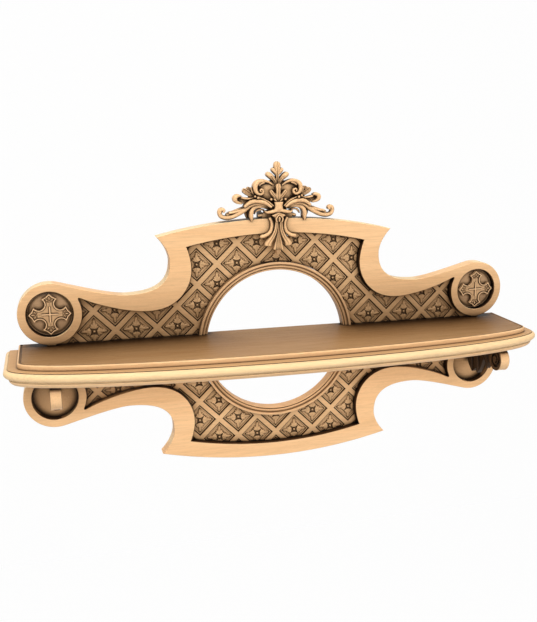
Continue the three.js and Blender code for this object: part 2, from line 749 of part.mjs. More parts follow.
function crestHalf() {
  const out = CREST_FRONT;
  const tail = CREST_TAIL_FRONT;
  return [
    // long scroll arm that rests on the arch
    band([[6, 14, 2.5], [15, 21, 3.2], [31, 23.5, 3.6], [43, 18, 3.8], [54, 8, 3.8],
      [66, 3.5, 3.8], [73.5, 5.5, 3.6], [76, 12, 3.2], [72.5, 16, 2.2]], CREST_BACK, out, 12),
    // C scroll beside the ground
    band([[5, 42, 1.6], [12, 48, 2.2], [22, 50, 2.6], [29, 45, 3], [30.8, 36, 3],
      [26, 31, 2.6], [20.5, 33.5, 2.2], [21, 38, 1.8]], CREST_BACK, out, 11),
    // upper and middle side leaves
    band([[29, 29, 4], [37, 32.5, 4], [44, 37, 2.6]], CREST_BACK, out - 3 * CREST_STEP, 5),
    band([[33, 23, 4], [45, 21.5, 4.4], [53, 24.5, 4.4], [56, 29, 3]], CREST_BACK, out - CREST_STEP, 6),
    // hooked leaf and small curl under the arm
    band([[14, 12, 2], [24, 15, 2.6], [33, 12.5, 3], [37, 5, 3.2], [37.5, -2, 0.8]],
      HOOK_BACK, out, 7),
    band([[8, 10, 2], [17, 9.5, 2.4], [23, 4, 2.6]], CREST_BACK, out - 2 * CREST_STEP, 4),
    // outer and inner feet of the tail
    band([[9, 3, 2.5], [11, -7, 2.6], [12.5, -15, 2.6], [18, -21.5, 2.6], [24, -24.5, 1.2]],
      FRAME_THICK + GAP, tail - 3 * CREST_STEP, 7),
    band([[6, 3, 2.6], [5.5, -9, 2.6], [8, -21, 3], [14, -31, 3.2], [17.5, -35, 0.8]],
      FRAME_THICK + GAP, tail - CREST_STEP, 7),
    // lobes of the finial
    band([[2, 49, 3], [9, 53, 3.4], [14, 58, 2.2]], FINIAL_BACK, out - 4 * CREST_STEP, 4),
    band([[1, 61, 2.4], [6, 65, 2.6]], FINIAL_BACK, out - 4 * CREST_STEP, 3),
    // lobes of the little palmette on the ground
    band([[1, 30, 2], [6, 34, 2.2], [10, 37.5, 1.4]], CREST_BACK, out - 2 * CREST_STEP, 4),
  ];
}

function mirrorX(body) {
  return body.scale([-1, 1, 1]);
}

function crest() {
  const halves = crestHalf().flatMap((piece) => [piece, mirrorX(piece)]);
  const ground = slab([
    drawn(0, 20), drawn(16, 21.5), drawn(28, 27), drawn(31, 37), drawn(26, 48), drawn(14, 48.5),
    drawn(0, 42), drawn(-14, 48.5), drawn(-26, 48), drawn(-31, 37), drawn(-28, 27), drawn(-16, 21.5),
  ], CREST_BACK, CREST_GROUND);
  const finial = band([[0, 38, 4.5], [0, 49, 4], [0, 59, 3.4], [0, 67, 4], [0, 71.5, 2]],
    FINIAL_BACK, CREST_FRONT - 3 * CREST_STEP, 7);
  const palmette = band([[0, 21, 3.5], [0, 31, 3], [0, 42, 2.6]], CREST_BACK, CREST_FRONT, 5);
  const vase = slab([
    drawn(7, 22), drawn(5.5, 16), drawn(9, 11.5), drawn(17, 9), drawn(14, 5), drawn(7, 3),
    drawn(-7, 3), drawn(-14, 5), drawn(-17, 9), drawn(-9, 11.5), drawn(-5.5, 16), drawn(-7, 22),
  ], CREST_BACK, CREST_TAIL_FRONT - CREST_STEP);
  const leaf = band([[0, 4, 4], [0, -11, 3], [0, -25, 4], [0, -36, 7], [0, -43, 3.2], [0, -47, 0.6]],
    FRAME_THICK + GAP, CREST_TAIL_FRONT, 9);
  const archTop = mirroredOutline(archOver(ARCH_CROWN_Z + GAP, ARCH_TIP_X, ARCH_TIP_Z, ARCH_STEPS));
  const clear = slab([...archTop, point(ARCH_TIP_X, SHELF_TOP), point(-ARCH_TIP_X, SHELF_TOP)],
    -1, FRAME_THICK + GAP);
  const body = join([ground, finial, palmette, vase, leaf, ...halves]);
  const holes = [-1, 1].map((sign) => crestDowelBar(sign, GAP));
  return cut(body, [clear, ...holes]);
}

function crestDowelBar(sign, grow) {
  const middle = ARCH_CROWN_Z;
  const half = CREST_DOWEL_LENGTH / 2 + grow;
  return barAlongZ(sign * CREST_DOWEL_X, CREST_DOWEL_Y, DOWEL_R + grow, middle - half, middle + half);
}

// Hanger plates on the back, behind the crest

function hangerOutline(sign, grow) {
  const x = sign * HANGER_X;
  const half = HANGER_WIDTH / 2 + grow;
  return [
    point(x - half, HANGER_LOW - grow),
    point(x + half, HANGER_LOW - grow),
    point(x + half, HANGER_HIGH - HANGER_CORNER + grow),
    point(x + half - HANGER_CORNER, HANGER_HIGH + grow),
    point(x - half + HANGER_CORNER, HANGER_HIGH + grow),
    point(x - half, HANGER_HIGH - HANGER_CORNER + grow),
  ];
}

const hangerScrewPlaces = [-1, 1].flatMap((sign) => [0, 1].map((row) => [
  sign * HANGER_X,
  HANGER_LOW + HANGER_SCREW_INSET + row * HANGER_SCREW_PITCH,
]));

function hangerScrews(grow) {
  return hangerScrewPlaces.map(([x, z]) => screwForward(x, z, grow, hangerScrewSizes, grow));
}

function hangerPlate(sign) {
  const hole = barAlongY(sign * HANGER_X, HANGER_HIGH - HANGER_HOLE_DROP, HANGER_HOLE_R, -1,
    HANGER_THICK + 1);
  return cut(slab(hangerOutline(sign, 0), 0, HANGER_THICK), [hole, ...hangerScrews(GAP)]);
}

// The assembly

const upperFoot = SHELF_TOP + GAP;
const lowerFoot = GAP - SHELF_BOTTOM;

const shelf = new THREE.Group();
shelf.name = 'wall_shelf';

function add(name, body, material) {
  const mesh = new THREE.Mesh(toGeometry(body), material);
  mesh.name = name;
  shelf.add(mesh);
}

const sides = [['left', -1], ['right', 1]];
const hangerPockets = sides.map(([, sign]) => slab(hangerOutline(sign, GAP), -1, HANGER_THICK + GAP));
const crestDowelHoles = sides.map(([, sign]) => crestDowelBar(sign, GAP));
const backScrewHoles = sides.map(
  ([, sign]) => screwForward(sign * CONSOLE_X, BACK_SCREW_Z, BACK_SCREW_HEAD, backScrewSizes, GAP),
);
const backScrewMouths = sides.map(
  ([, sign]) => barAlongY(sign * CONSOLE_X, BACK_SCREW_Z, SCREW_HEAD_R + GAP, -1, BACK_SCREW_HEAD),
);

add('upper_frame', cut(frameBoard(1, upperFoot), [
  ...hangerPockets, ...hangerScrews(GAP), ...crestDowelHoles,
]), wood);
add('lower_frame', cut(frameBoard(-1, lowerFoot), [...backScrewHoles, ...backScrewMouths]), wood);
add('upper_lattice_panel', cut(latticePanel(1, upperFoot), [
  ...hangerPockets, ...hangerScrews(GAP),
]), groundWood);
add('lower_lattice_panel', latticePanel(-1, lowerFoot), groundWood);
add('upper_window_ring', windowRing(1, upperFoot), wood);
add('lower_window_ring', windowRing(-1, lowerFoot), wood);

const holes = shelfHoles();
add('shelf_top_board', cut(mouldedBoard(topBoardProfile()), holes), wood);
add('shelf_bead_board', cut(mouldedBoard(beadBoardProfile()), holes), wood);
add('shelf_base_board', cut(mouldedBoard(baseBoardProfile()), holes), wood);

for (const [hand, sign] of sides) {
  add(`${hand}_medallion_disc`, medallionDisc(sign), groundWood);
  add(`${hand}_medallion_cross`, medallionCross(sign), wood);
  add(`${hand}_console`, scrollConsole(sign), wood);
  add(`${hand}_console_back_screw`,
    screwForward(sign * CONSOLE_X, BACK_SCREW_Z, BACK_SCREW_HEAD, backScrewSizes, 0), steel);
  add(`${hand}_console_shelf_screw`,
    screwDown(sign * CONSOLE_X, SHELF_SCREW_Y, BEAD_BOARD_TOP - GAP / 2, 0), steel);
  add(`${hand}_crest_dowel`, crestDowelBar(sign, 0), dowelWood);
  add(`${hand}_hanger_plate`, hangerPlate(sign), steel);
}

add('crest', crest(), wood);

dowelPlaces.forEach(([x, depth, side], i) => {
  const [low, high] = dowelSpan(side);
  const level = side > 0 ? 'upper' : 'lower';
  add(`${level}_dowel_${i % 4 + 1}`, barAlongZ(x, depth, DOWEL_R, low, high), dowelWood);
});

hangerScrewPlaces.forEach(([x, z], i) => {
  add(`hanger_screw_${i + 1}`, screwForward(x, z, 0, hangerScrewSizes, 0), steel);
});

export default shelf;
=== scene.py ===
"""Looks of the carved wall shelf.

A pierced backboard in two halves stands above and below a bowed, moulded shelf. Each half is a
smooth frame board round a sunk panel of diamond lattice with a rosette in every diamond, and a
half ring closes the open window in the middle. Crosses in relief fill the upper round ends,
scroll consoles stand in the lower ones, and an acanthus crest sits on the arch.

Lengths are in millimetres until a piece is finished, then in metres. The wall is the plane
y = 0, and a depth is a distance in front of it, towards -Y.
"""

from __future__ import annotations

import logging
import math
from collections.abc import Callable, Sequence
from dataclasses import dataclass, field
from enum import Enum

import bmesh
import bpy
from mathutils import Matrix, Vector, geometry

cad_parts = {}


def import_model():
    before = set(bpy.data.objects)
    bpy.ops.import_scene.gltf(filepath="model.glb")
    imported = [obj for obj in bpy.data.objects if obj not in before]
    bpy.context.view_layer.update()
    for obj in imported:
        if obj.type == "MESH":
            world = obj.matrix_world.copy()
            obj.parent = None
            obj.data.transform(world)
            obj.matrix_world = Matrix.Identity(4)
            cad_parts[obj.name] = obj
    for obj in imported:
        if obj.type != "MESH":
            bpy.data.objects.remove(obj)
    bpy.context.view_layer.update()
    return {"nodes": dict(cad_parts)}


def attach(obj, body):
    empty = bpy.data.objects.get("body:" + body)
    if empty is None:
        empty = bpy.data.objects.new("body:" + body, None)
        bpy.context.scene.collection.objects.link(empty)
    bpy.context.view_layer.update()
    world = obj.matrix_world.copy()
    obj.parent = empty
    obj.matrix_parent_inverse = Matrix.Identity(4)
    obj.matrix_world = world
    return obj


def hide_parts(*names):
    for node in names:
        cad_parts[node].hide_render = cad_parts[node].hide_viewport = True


MM = 0.001
GAP = 0.3
LOG = logging.getLogger("wall_shelf")
PHOTO_WIDTH = 537
PHOTO_HEIGHT = 622
BODY = "root"

Line = list[Vector]
Colour = tuple[float, float, float, float]
Span = tuple[float, float]
Solid = bmesh.types.BMesh
Material = bpy.types.Material
Socket = bpy.types.NodeSocket

WHITE: Colour = (1, 1, 1, 1)


class Side(Enum):
    """The half of the backboard, above or below the shelf."""

    UPPER = 1
    LOWER = -1


class Hand(Enum):
    """The end of the shelf, seen from the front."""

    LEFT = -1
    RIGHT = 1


class Cut(Enum):
    """How two solids are combined."""

    JOIN = "UNION"
    REMOVE = "DIFFERENCE"
    KEEP = "INTERSECT"


class Grain(Enum):
    """The way the wood's fibres run."""

    ALONG = "x"
    UPRIGHT = "z"
    FORWARD = "y"


class Section(Enum):
    """How the front of a carved blade runs across its width."""

    ROUND = "round"
    VEINED = "veined"
    HOLLOW = "hollow"
    DOMED = "domed"

    def drop(self, across: float, half: float) -> float:
        """How far the front lies behind the blade's crown.

        Args:
            across: Place across the blade, from -1 to 1.
            half: Half the blade's width.

        Returns:
            The distance behind the crown.
        """
        side = abs(across)
        if self is Section.DOMED:
            return 2.2 * side * side
        if self is Section.HOLLOW:
            rim = 0.74
            if side < rim:
                return min(0.6 * half, 3.0) * (1 - (side / rim) ** 2)
            return min(0.7 * half, 2.4) * (1 - math.sqrt(max(1 - ((side - rim) / (1 - rim)) ** 2, 0)))
        fall = min(0.85 * half, 3.0) * (1 - math.sqrt(max(1 - side * side, 0)))
        if self is Section.VEINED:
            fall += min(0.36 * half, 0.9) * math.exp(-((side / 0.2) ** 2))
        return fall


class Slot(Enum):
    """The material slots of the record."""

    CARVED = "carved_wood"
    PANEL = "panel_wood"
    DOWEL = "dowel_wood"
    STEEL = "steel"


def flat(x: float, z: float) -> Vector:
    """A point of an outline, across and up."""
    return Vector((x, z))


def bezier(a: Vector, b: Vector, c: Vector, d: Vector, steps: int = 24) -> Line:
    """A cubic curve from a to d with the handles b and c.

    Args:
        a: First point.
        b: Handle of the first point.
        c: Handle of the last point.
        d: Last point.
        steps: Number of straight pieces.

    Returns:
        The points along the curve.
    """
    points = geometry.interpolate_bezier(a.to_3d(), b.to_3d(), c.to_3d(), d.to_3d(), steps + 1)
    return [p.to_2d() for p in points]


def arc(cx: float, cz: float, radius: float, start: float, end: float, steps: int) -> Line:
    """Points on a circle from one angle to another, in radians."""
    angles = [start + (end - start) * i / steps for i in range(steps + 1)]
    return [flat(cx + radius * math.cos(a), cz + radius * math.sin(a)) for a in angles]


def arch_over(crown: float, end_x: float, end_z: float, steps: int) -> Line:
    """A shallow arc from the crown over the middle to a point at the right.

    Args:
        crown: Height of the arc over the middle.
        end_x: Distance of the end from the middle.
        end_z: Height of the end.
        steps: Number of straight pieces.

    Returns:
        The points from the middle outwards.
    """
    drop = crown - end_z
    radius = (end_x * end_x + drop * drop) / (2 * drop)
    half = math.asin(end_x / radius)
    return arc(0, crown - radius, radius, math.pi / 2, math.pi / 2 - half, steps)


def without_repeats(points: Line) -> Line:
    """The line without points that lie on the one before.

    Args:
        points: The line, in which points may repeat.

    Returns:
        The line with each point once.
    """
    kept = [points[0]]
    for p in points[1:]:
        if (p - kept[-1]).length > 0.01:
            kept.append(p)
    return kept


def shifted(line: Line, distance: float) -> Line:
    """An open line moved sideways, to its left when the distance is positive.

    Args:
        line: The open line.
        distance: How far it moves.

    Returns:
        The moved line, mitred at its corners.
    """
    moved = []
    for i, p in enumerate(line):
        before = p - line[max(i - 1, 0)]
        after = line[min(i + 1, len(line) - 1)] - p
        first = (before if before.length > 0 else after).normalized()
        last = (after if after.length > 0 else before).normalized()
        normal = flat(-first.y, first.x)
        middle = (normal + flat(-last.y, last.x)).normalized()
        moved.append(p + middle * (distance / max(middle.dot(normal), 0.5)))
    return moved


def mirrored_outline(line: Line) -> Line:
    """Closes a right-hand line, which starts on the axis, with its mirror image."""
    return [flat(-p.x, p.y) for p in reversed(line[1:])] + list(line)


def flipped(outline: Line, side: Side) -> Line:
    """The outline for the half above or below the shelf."""
    return [flat(p.x, side.value * p.y) for p in outline]


def smooth_path(points: Sequence[Sequence[float]], steps: int) -> list[list[float]]:
    """A smooth curve through points of any number of coordinates.

    Args:
        points: The points that the curve passes through.
        steps: Number of pieces between two points.

    Returns:
        The points along the curve, both ends included.
    """
    rows = [points[0], *points, points[-1]]
    path = []
    for a, b, c, d in zip(rows, rows[1:], rows[2:], rows[3:]):
        for i in range(steps):
            t = i / steps
            path.append([
                0.5 * (2 * q + (r - p) * t + (2 * p - 5 * q + 4 * r - s) * t * t
                       + (3 * q - p - 3 * r + s) * t * t * t)
                for p, q, r, s in zip(a, b, c, d)
            ])
    path.append(list(points[-1]))
    return path


def smoothstep(low: float, high: float, value: float) -> float:
    """0 below low, 1 above high and a soft step between them."""
    t = min(max((value - low) / (high - low), 0.0), 1.0)
    return t * t * (3 - 2 * t)


def plate(outline: Line, back: float, front: float) -> Solid:
    """A plate with an outline across and up, between two depths.

    Args:
        outline: Its outline, with the first point only once.
        back: Depth of its rear face.
        front: Depth of its front face.

    Returns:
        The plate.
    """
    bm = bmesh.new()
    face = bm.faces.new([bm.verts.new((p.x, -back, p.y)) for p in outline])
    grown = bmesh.ops.extrude_face_region(bm, geom=[face], use_keep_orig=True)
    verts = [v for v in grown["geom"] if isinstance(v, bmesh.types.BMVert)]
    bmesh.ops.translate(bm, verts=verts, vec=(0, back - front, 0))
    bmesh.ops.recalc_face_normals(bm, faces=bm.faces)
    return bm


def bar(centre: Vector, radius: float, length: float, axis: str, sides: int = 48) -> Solid:
    """A round bar about its centre, along an axis named x, y or z.

    Args:
        centre: Its middle.
        radius: Its radius.
        length: Its length.
        axis: The name of the axis.
        sides: Number of its flat sides.

    Returns:
        The bar.
    """
    bm = bmesh.new()
    bmesh.ops.create_cone(
        bm, cap_ends=True, segments=sides, radius1=radius, radius2=radius, depth=length
    )
    turns = {"x": Matrix.Rotation(math.pi / 2, 4, "Y"), "y": Matrix.Rotation(math.pi / 2, 4, "X")}
    bmesh.ops.transform(bm, matrix=turns.get(axis, Matrix.Identity(4)), verts=bm.verts)
    bmesh.ops.translate(bm, verts=bm.verts, vec=centre)
    return bm


def block(low: Sequence[float], high: Sequence[float]) -> Solid:
    """A box between two corners.

    Args:
        low: Its lower corner.
        high: Its upper corner.

    Returns:
        The box.
    """
    bm = bmesh.new()
    bmesh.ops.create_cube(bm, size=1)
    size = Vector(high) - Vector(low)
    bmesh.ops.scale(bm, verts=bm.verts, vec=size)
    bmesh.ops.translate(bm, verts=bm.verts, vec=Vector(low) + size / 2)
    return bm


def turned(profile: Sequence[tuple[float, float]], steps: int = 96) -> Solid:
    """A form turned about the Y axis from (radius, depth) points, ends on the axis or closed.

    Args:
        profile: The points of half its section.
        steps: Number of steps round the axis.

    Returns:
        The closed form.
    """
    bm = bmesh.new()
    verts = [bm.verts.new((r, -depth, 0)) for r, depth in profile]
    edges = [bm.edges.new(pair) for pair in zip(verts, verts[1:])]
    bmesh.ops.spin(
        bm, geom=[*verts, *edges], cent=(0, 0, 0), axis=(0, 1, 0), angle=2 * math.pi,
        steps=steps, use_merge=True, use_duplicate=False,
    )
    bmesh.ops.remove_doubles(bm, verts=bm.verts, dist=0.0005)
    bmesh.ops.recalc_face_normals(bm, faces=bm.faces)
    return bm


def swept(sections: Sequence[Sequence[Vector]]) -> Solid:
    """A closed solid through closed sections with as many points each.

    Args:
        sections: The sections, with their points in the same order.

    Returns:
        The closed solid.
    """
    bm = bmesh.new()
    face = bm.faces.new([bm.verts.new(p) for p in sections[0]])
    for section in sections[1:]:
        face = bmesh.ops.extrude_discrete_faces(bm, faces=[face])["faces"][0]
        for vert, place in zip(face.verts, section):
            vert.co = place
    bmesh.ops.holes_fill(bm, edges=[e for e in bm.edges if e.is_boundary], sides=0)
    bmesh.ops.recalc_face_normals(bm, faces=bm.faces)
    return bm


def placed(bm: Solid, name: str) -> bpy.types.Object:
    """A linked object that holds the mesh, which is freed.

    Args:
        bm: The mesh.
        name: The name of the object and of its mesh.

    Returns:
        The object.
    """
    mesh = bpy.data.meshes.new(name)
    bm.to_mesh(mesh)
    bm.free()
    obj = bpy.data.objects.new(name, mesh)
    bpy.context.scene.collection.objects.link(obj)
    return obj


def combined(base: Solid, tools: Sequence[Solid], how: Cut) -> Solid:
    """Joins solids to a solid, or cuts them from it.

    Args:
        base: The solid that is kept.
        tools: The solids that are joined or cut.
        how: Whether the tools are added, taken away or intersected.

    Returns:
        The new solid. The others are freed.
    """
    body = placed(base, "body")
    others = [placed(tool, "tool") for tool in tools]
    for tool in others:
        modifier = body.modifiers.new("cut", "BOOLEAN")
        modifier.solver = "MANIFOLD"
        modifier.operation = how.value
        modifier.object = tool
    graph = bpy.context.evaluated_depsgraph_get()
    result = bmesh.new()
    result.from_mesh(body.evaluated_get(graph).to_mesh())
    for obj in (body, *others):
        mesh = obj.data
        bpy.data.objects.remove(obj)
        bpy.data.meshes.remove(mesh)
    return result


def ellipsoid(centre: Sequence[float], radii: Sequence[float], turn: float = 0) -> Solid:
    """A ball stretched along the axes, then turned about the depth axis by an angle in radians.

    Args:
        centre: Its middle.
        radii: Its half lengths along the axes.
        turn: The angle.

    Returns:
        The stretched ball.
    """
    bm = bmesh.new()
    bmesh.ops.create_uvsphere(bm, u_segments=16, v_segments=10, radius=1)
    bmesh.ops.scale(bm, verts=bm.verts, vec=radii)
    bmesh.ops.rotate(bm, verts=bm.verts, cent=(0, 0, 0), matrix=Matrix.Rotation(turn, 3, "Y"))
    bmesh.ops.translate(bm, verts=bm.verts, vec=centre)
    return bm


def moved(bm: Solid, matrix: Matrix) -> Solid:
    """The mesh after a transform, its faces still pointing out."""
    bmesh.ops.transform(bm, matrix=matrix, verts=bm.verts)
    bmesh.ops.recalc_face_normals(bm, faces=bm.faces)
    return bm


def mirrored(bm: Solid) -> Solid:
    """A copy of the mesh on the other side of the middle."""
    return moved(bm.copy(), Matrix.Scale(-1, 4, (1, 0, 0)))


def soften(bm: Solid, width: float, chosen: Callable[[bmesh.types.BMEdge], bool]) -> None:
    """Rounds the sharp edges that are chosen.

    Args:
        bm: The mesh, changed in place.
        width: How far the rounding reaches from the edge.
        chosen: Says of a sharp edge whether it is rounded.
    """
    bmesh.ops.dissolve_limit(bm, angle_limit=math.radians(0.3), verts=bm.verts, edges=bm.edges)
    sharp = [
        e for e in bm.edges
        if len(e.link_faces) == 2 and e.calc_face_angle(0) > math.radians(40) and chosen(e)
    ]
    bmesh.ops.bevel(
        bm, geom=sharp, offset=width, offset_type="OFFSET", segments=3, profile=0.5,
        affect="EDGES", material=-1, clamp_overlap=False,
    )


class Tree:
    """A material's nodes, added and linked one by one."""

    def __init__(self, name: str) -> None:
        """Starts an empty material with an output.

        Args:
            name: The material's name.
        """
        self.material = bpy.data.materials.new(name)
        self.material.use_nodes = True
        self.nodes = self.material.node_tree.nodes
        self.nodes.clear()
        self.output = self.nodes.new("ShaderNodeOutputMaterial")

    def add(self, kind: str, **inputs: object) -> bpy.types.Node:
        """Adds a node. An input is a value or another node's output.

        Args:
            kind: The node's type without the words ShaderNode.
            inputs: Values or outputs by socket name, with _ for a space, or i and a number.

        Returns:
            The new node.
        """
        node = self.nodes.new("ShaderNode" + kind)
        for name, value in inputs.items():
            key = int(name[1:]) if name[0] == "i" and name[1:].isdigit() else name.replace("_", " ")
            if isinstance(value, Socket):
                self.material.node_tree.links.new(value, node.inputs[key])
            else:
                node.inputs[key].default_value = value
        return node

    def ranged(self, value: Socket, low: float, high: float,
               start: float, end: float) -> Socket:
        """The value taken from the range low to high to the range start to end, clamped."""
        node = self.add("MapRange", Value=value, From_Min=low, From_Max=high, To_Min=start, To_Max=end)
        return node.outputs["Result"]

    def mixed(self, factor: object, a: object, b: object, blend: str = "MIX") -> Socket:
        """Two colours mixed by a factor.

        Args:
            factor: Share of the second colour.
            a: The first colour.
            b: The second colour.
            blend: How they are mixed.

        Returns:
            The mixed colour.
        """
        node = self.nodes.new("ShaderNodeMix")
        node.data_type = "RGBA"
        node.blend_type = blend
        for index, value in ((0, factor), (6, a), (7, b)):
            if isinstance(value, Socket):
                self.material.node_tree.links.new(value, node.inputs[index])
            else:
                node.inputs[index].default_value = value
        return node.outputs[2]

    def math(self, operation: str, a: object, b: object) -> Socket:
        """The result of one arithmetic step.

        Args:
            operation: Its name.
            a: The first value.
            b: The second value.

        Returns:
            The result.
        """
        node = self.add("Math", i0=a, i1=b)
        node.operation = operation
        return node.outputs[0]

    def above(self, value: Socket, span: Span) -> Socket:
        """0 under the span, 1 over it and a ramp between."""
        return self.ranged(value, *span, 0, 1)

    def below(self, value: Socket, span: Span) -> Socket:
        """1 under the span, 0 over it and a ramp between."""
        return self.ranged(value, *span, 1, 0)

    def dot(self, a: Socket, b: Socket) -> Socket:
        """The dot product of two vectors.

        Args:
            a: The first vector.
            b: The second vector.

        Returns:
            The product.
        """
        node = self.add("VectorMath", i0=a, i1=b)
        node.operation = "DOT_PRODUCT"
        return node.outputs["Value"]

    def finish(self, shader: bpy.types.Node) -> Material:
        """Links the shader to the output and gives the material."""
        self.material.node_tree.links.new(shader.outputs[0], self.output.inputs["Surface"])
        return self.material


@dataclass(frozen=True)
class Wood:
    """Pale hardwood with a satin finish, and a dark colour painted in its hollows, partly a glaze and partly
    painted shade.

    Painted shade darkens the colour where the surroundings close it in, more deeply on the level top. A
    painted tone multiplies the colour of one region: painted shade on the level top, the ledges below it, the
    flanks and what lies behind a depth, painted shadow on the walls that face the object's middle and painted
    light on those that look away from it. A span is where a region fades in, of a part of the normal or of
    the dot product of place and normal. Lengths are in metres, as a material reads them.
    """

    name: str
    pale: Colour = (0.93, 0.605, 0.335, 1)
    warm: Colour = (0.86, 0.53, 0.275, 1)
    # The dark colour painted in the hollows, partly a glaze and partly painted shade.
    glaze_and_shade: Colour = (0.035, 0.018, 0.008, 1)
    grain: Grain = Grain.ALONG
    figure: Span = (3.5, 46)
    fibre: Span = (26, 520)
    pore: Span = (110, 1900)
    # Reaches and spans of the painted shade, in the hollows and where the surroundings close the surface in.
    hollow: float = 0.006
    glaze_and_shade_from: float = 0.46
    glaze_and_shade_to: float = 0.96
    shade: float = 0.62
    shade_reach: float = 0.09
    shade_from: float = 0.35
    top_shade: float = 0.97
    top_shade_from: float = 0.53
    top_height: float = 0.0138
    top_blend: float = 0.0001
    ledge_blend: float = 0.0008
    rear_depth: float = 0.0
    rear_blend: float = 0.002
    # Painted tones: shade for the top, the ledges, the flanks and the rear, shadow for the inward walls and
    # light for the outward ones.
    top_painted_shade: Colour = WHITE
    ledge_painted_shade: Colour = WHITE
    flank_painted_shade: Colour = WHITE
    rear_painted_shade: Colour = WHITE
    inward_painted_shadow: Colour = WHITE
    outward_painted_light: Colour = WHITE
    level: Span = (0.9, 0.99)
    leaning: Span = (0.35, 0.7)
    sideways: Span = (0.45, 0.8)
    upward: Span = (0.1, 0.45)
    inward: Span = (-0.03, -0.01)
    far_inward: Span = (-0.29, -0.26)
    outward: Span = (0.045, 0.07)
    roughness: float = 0.42
    specular: float = 0.12
    pore_depth: float = 0.00008
    samples: int = 8

    def noise(self, tree: Tree, place: Socket, stretch: Span, **inputs: float) -> Socket:
        """Noise that is stretched along the fibres.

        Args:
            tree: The material's nodes.
            place: Object coordinates.
            stretch: Its scale along and across the fibres.
            inputs: The noise's detail, roughness and distortion.

        Returns:
            A value from 0 to 1.
        """
        along, across = stretch
        scale = {
            Grain.ALONG: (along, across, across),
            Grain.UPRIGHT: (across, across, along),
            Grain.FORWARD: (across, along, across),
        }[self.grain]
        stretched = tree.add("Mapping", Vector=place, Scale=scale).outputs[0]
        return tree.add("TexNoise", Vector=stretched, Scale=1.0, **inputs).outputs["Fac"]

    def openness(self, tree: Tree, reach: float) -> Socket:
        """How open the surroundings are within a reach, from 0 to 1.

        Args:
            tree: The material's nodes.
            reach: How far the surroundings count.

        Returns:
            The share that is open.
        """
        node = tree.add("AmbientOcclusion", Distance=reach)
        node.samples = self.samples
        return node.outputs["AO"]

    def with_painted_shade(self, tree: Tree, colour: Socket, openness: Socket, start: float, shade: float) -> Socket:
        """The colour, browner and darker where the surface is closed in, as painted shade.

        Args:
            tree: The material's nodes.
            colour: The colour of the open wood.
            openness: How open the surroundings are, from 0 to 1.
            start: The openness at which the shade is deepest.
            shade: How much the deepest shade takes away.

        Returns:
            The shaded colour.
        """
        dim = tree.ranged(openness, start, 1.0, 1 - shade, 1)
        green, blue = (tree.math("POWER", dim, power) for power in (1.12, 1.25))
        shade_tint = tree.add("CombineColor", Red=dim, Green=green, Blue=blue).outputs[0]
        return tree.mixed(1.0, colour, shade_tint, "MULTIPLY")

    def bare(self, tree: Tree, place: Socket, fibres: Socket, pores: Socket) -> Socket:
        """The wood's colour with its figure, streaks and pores, and a dark colour painted in its hollows,
        partly a glaze and partly painted shade.

        Args:
            tree: The material's nodes.
            place: Object coordinates.
            fibres: The noise of the fibres.
            pores: The noise of the pores.

        Returns:
            The colour before the broad painted shade and the painted tones.
        """
        figure = self.noise(tree, place, self.figure, Detail=6.0, Roughness=0.55, Distortion=0.5)
        colour = tree.mixed(tree.above(figure, (0.3, 0.7)), self.pale, self.warm)
        streak = tree.ranged(fibres, 0.4, 0.75, 1.0, 0.86)
        pore = tree.ranged(pores, 0.6, 0.72, 1.0, 0.84)
        wear = tree.math("MULTIPLY", streak, pore)
        grey = tree.add("CombineColor", Red=wear, Green=wear, Blue=wear).outputs[0]
        colour = tree.mixed(1.0, colour, grey, "MULTIPLY")
        # Painted shade in the hollows: the dark colour where little is open within the hollow reach, partly a
        # glaze.
        glazed_and_shaded = tree.above(self.openness(tree, self.hollow), (self.glaze_and_shade_from, self.glaze_and_shade_to))
        return tree.mixed(glazed_and_shaded, self.glaze_and_shade, colour)

    def with_painted_tones(self, tree: Tree, colour: Socket, regions: Sequence[tuple[Socket, Colour]]) -> Socket:
        """The colour times each region's painted tone, its painted light and shade, one after the other.

        Args:
            tree: The material's nodes.
            colour: The colour.
            regions: Where each painted tone holds, from 0 to 1, and the tone.

        Returns:
            The toned colour.
        """
        for share, tone in regions:
            if tone != WHITE:
                colour = tree.mixed(share, colour, tree.mixed(1.0, colour, tone, "MULTIPLY"))
        return colour

    def shaded(self, tree: Tree, place: Socket, colour: Socket) -> Socket:
        """The colour with painted shade where it is closed in, and the painted light and shade of each
        region.

        Args:
            tree: The material's nodes.
            place: Object coordinates.
            colour: The colour before any shade.

        Returns:
            The finished colour.
        """
        normal = tree.add("TexCoord").outputs["Normal"]
        facing = tree.add("SeparateXYZ", Vector=normal).outputs
        spot = tree.add("SeparateXYZ", Vector=place).outputs
        away = tree.dot(place, normal)
        # Painted shade where the surroundings close the surface in, deeper on the level top, where it stands
        # for the backboard's shadow.
        broad = self.openness(tree, self.shade_reach)
        top = self.with_painted_shade(tree, colour, broad, self.top_shade_from, self.top_shade)
        top = tree.mixed(1.0, top, self.top_painted_shade, "MULTIPLY")
        colour = self.with_painted_shade(tree, colour, broad, self.shade_from, self.shade)
        # Painted shade on the upward ledges under the top.
        under_top = tree.below(spot["Z"], (self.top_height - self.ledge_blend, self.top_height))
        ledge = tree.math("MULTIPLY", tree.above(facing["Z"], self.leaning), under_top)
        colour = self.with_painted_tones(tree, colour, [(ledge, self.ledge_painted_shade)])
        over_top = tree.above(spot["Z"], (self.top_height, self.top_height + self.top_blend))
        on_top = tree.math("MULTIPLY", tree.above(facing["Z"], self.level), over_top)
        colour = tree.mixed(on_top, colour, top)
